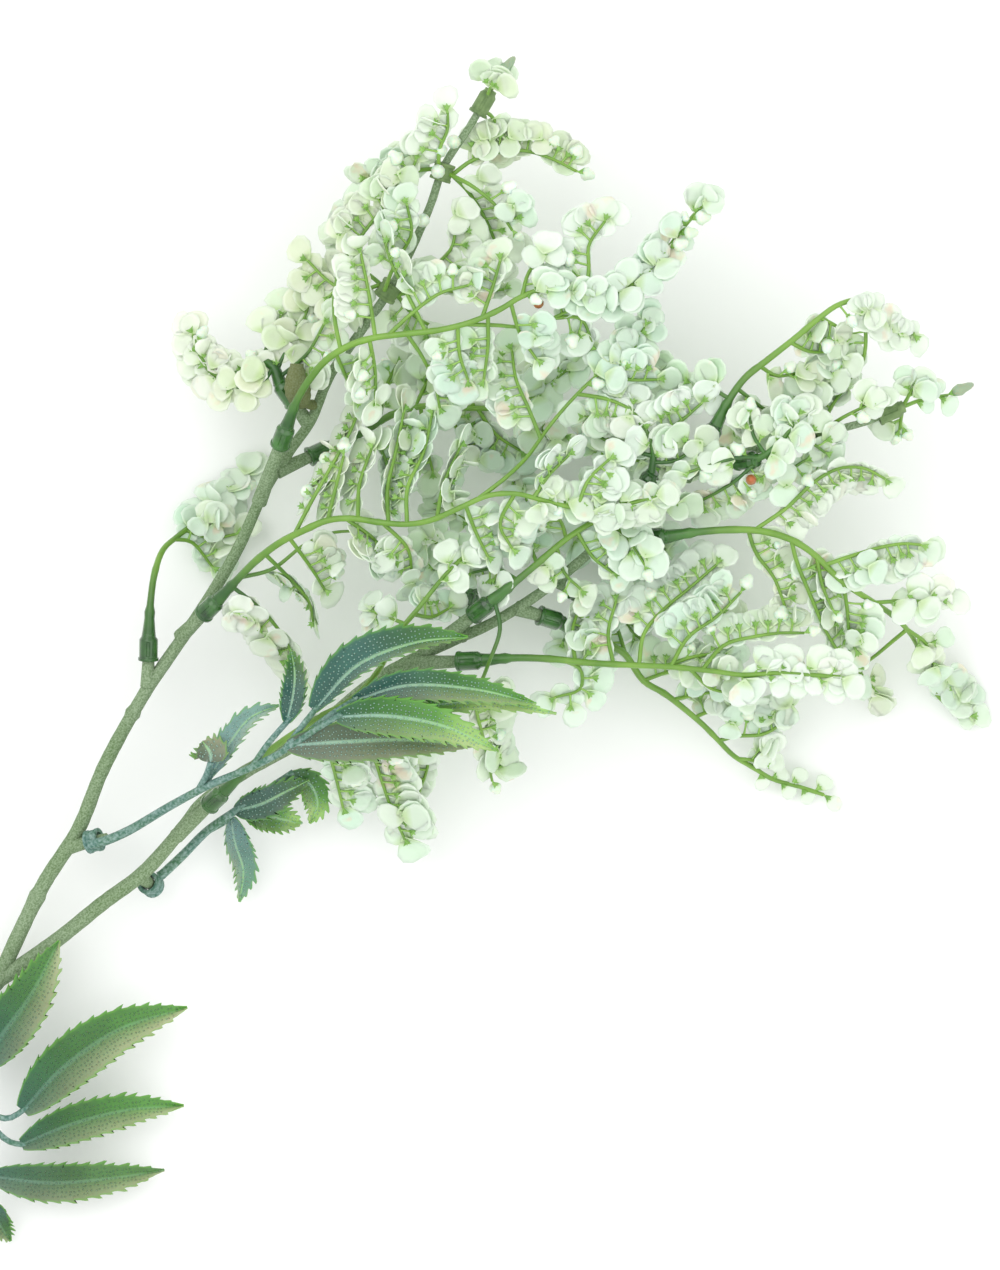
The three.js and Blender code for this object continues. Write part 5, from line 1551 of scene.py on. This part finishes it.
def stemRadii(route, first, last, luck):
    s = stemShape
    radii = []
    for plain, point in zip(taper(route, first, last), route):
        for ring in stemRings:
            away = (point - Vector(ring)).length
            if away < s["ringReach"]:
                plain += s["ring"] * math.exp(-(away / s["ringWidth"]) ** 4)
        radii.append(plain * (1 + luck.uniform(-s["lump"], s["lump"])))
    return radii


def pegRod(base, tip, mouthShare):
    # a peg narrows to the sleeve's mouth, and less from there to its tip
    s = stemShape
    route = smoothRoute([base, tip], s["pegStep"])
    radii = []
    for i in range(len(route)):
        share = i / (len(route) - 1)
        if share < mouthShare:
            first, last, part = s["pegRoot"], s["pegMouth"], share / mouthShare
        else:
            first, last, part = s["pegMouth"], s["pegTip"], (share - mouthShare) / (1 - mouthShare)
        radii.append(first + (last - first) * part)
    return route, radii


def knobRod(luck):
    # a stalk that swells into a blunt knob
    s = stemShape
    route = smoothRoute(stemKnob, s["knobStep"])
    radii = []
    for i in range(len(route)):
        share = i / (len(route) - 1)
        plain = s["knobStalk"] + (s["knob"] - s["knobStalk"]) * fadeBetween(0.25, 0.5, share) \
            * math.sqrt(max(0.03, 1 - fadeBetween(0.6, 1, share)))
        radii.append(plain * luck.uniform(*s["knobLump"]))
    return route, radii


def buildStem():
    s = stemShape
    luck = random.Random(seeds["stem"])
    away = Vector((math.cos(lowerStemTurn), math.sin(lowerStemTurn), 0))
    fork = Vector(leftBranch[0])
    cutEnd = Vector((away.x * lowerStemLength, away.y * lowerStemLength, cutEndHeight))
    bends = [fork + away * reach - up * drop for reach, drop in s["sag"]]
    rods = []
    for points, first, last in (([fork, *bends, cutEnd], s["fork"], s["cutEnd"]),
                                (leftBranch, s["branch"], s["branchTip"]),
                                (rightBranch, s["branch"], s["branchTip"]),
                                (sideBranch, s["side"], s["sideTip"])):
        route = smoothRoute(points, s["step"])
        rods.append((route, stemRadii(route, first, last, luck)))
    for spray in sprayRoutes.values():
        base, end = Vector(spray["base"]), Vector(spray["end"])
        reach = (end - base).length
        tip = base.lerp(end, (reach - s["sleeveFloor"] - s["tipGap"]) / reach)
        mouthShare = (reach - sleeveShape["length"]) / (tip - base).length
        rods.append(pegRod(base, tip, max(0.2, mouthShare)))
    for sprig in leafRoutes.values():
        rods.append(pegRod(Vector(sprig["base"]), Vector(sprig["pegEnd"]), sprig["collarAt"]))
    stem = addRods(rods, stemMaterial, 4)
    setAttribute(stem.data, "bark", 0)
    knob = addRods([knobRod(luck)], stemMaterial, 4)
    setAttribute(knob.data, "bark", s["knobBark"])
    inward = (bends[-1] - cutEnd).normalized()
    wireRoute = smoothRoute([cutEnd + inward * s["wireIn"], cutEnd - inward * s["wireOut"]], 0.5)
    wire = addRods([(wireRoute, [s["wire"]] * len(wireRoute))], wireMaterial, 2)
    finishPiece("stem_flocked", [stem, knob, wire], "wired_stem")


buildStem()
print("stem is built")


# A pale floor, soft light and a camera straight above
floorLook = {
    "size": 4, "tone": paint(247, 248, 247), "light": paint(250, 251, 250), "roughness": 0.75,
    "gap": 0.5 * millimetre,
}


def buildFloor():
    look = floorLook
    clearSelection()
    bpy.ops.mesh.primitive_plane_add(size=look["size"], location=(0, 0, -look["gap"]))
    floor = bpy.context.object
    floor.name = "floor"
    material, tree, surface = newMaterial(
        "floor", Roughness=look["roughness"], Specular_IOR_Level=0.1)
    tone = addMottle(tree, look["tone"], look["light"], size=3, softness=0.3)
    tree.links.new(tone["Color"], surface["Base Color"])
    floor.data.materials.append(material)


lighting = {
    "world": 1, "size": 1.2, "aim": (120, 90, 30),
    "key": (6, (-400, 500, 1300)), "fill": (3, (600, -300, 1000)),
}


def addSoftLight(name):
    power, at = lighting[name]
    data = bpy.data.lights.new(name, "AREA")
    data.energy = power
    data.size = lighting["size"]
    light = addObject(name, data)
    place = layoutToRow @ Vector(at)
    aim = layoutToRow @ Vector(lighting["aim"])
    light.location = place
    light.rotation_euler = (aim - place).to_track_quat("-Z", "Y").to_euler()


def buildLight():
    world = bpy.context.scene.world or bpy.data.worlds.new("world")
    bpy.context.scene.world = world
    world.use_nodes = True
    sky = world.node_tree.nodes["Background"].inputs
    sky["Color"].default_value = (1, 1, 1, 1)
    sky["Strength"].default_value = lighting["world"]
    addSoftLight("key")
    addSoftLight("fill")
    bpy.context.scene.view_settings.view_transform = "Standard"


cameraLook = {
    "lens": 260, "over": (127, 87.5), "level": 35, "halfHeight": 158.75, "sensor": 36, "clip": 20,
}


def buildCamera():
    c = cameraLook
    data = bpy.data.cameras.new("camera")
    data.sensor_width = c["sensor"]
    data.lens = c["lens"]
    data.clip_end = c["clip"]
    camera = addObject("camera", data)
    distance = c["halfHeight"] * c["lens"] / (c["sensor"] / 2)
    camera.location = layoutToRow @ Vector((*c["over"], c["level"] + distance))
    camera.rotation_euler = (0, 0, math.pi - lowerStemTurn)
    bpy.context.scene.camera = camera


buildFloor()
buildLight()
buildCamera()
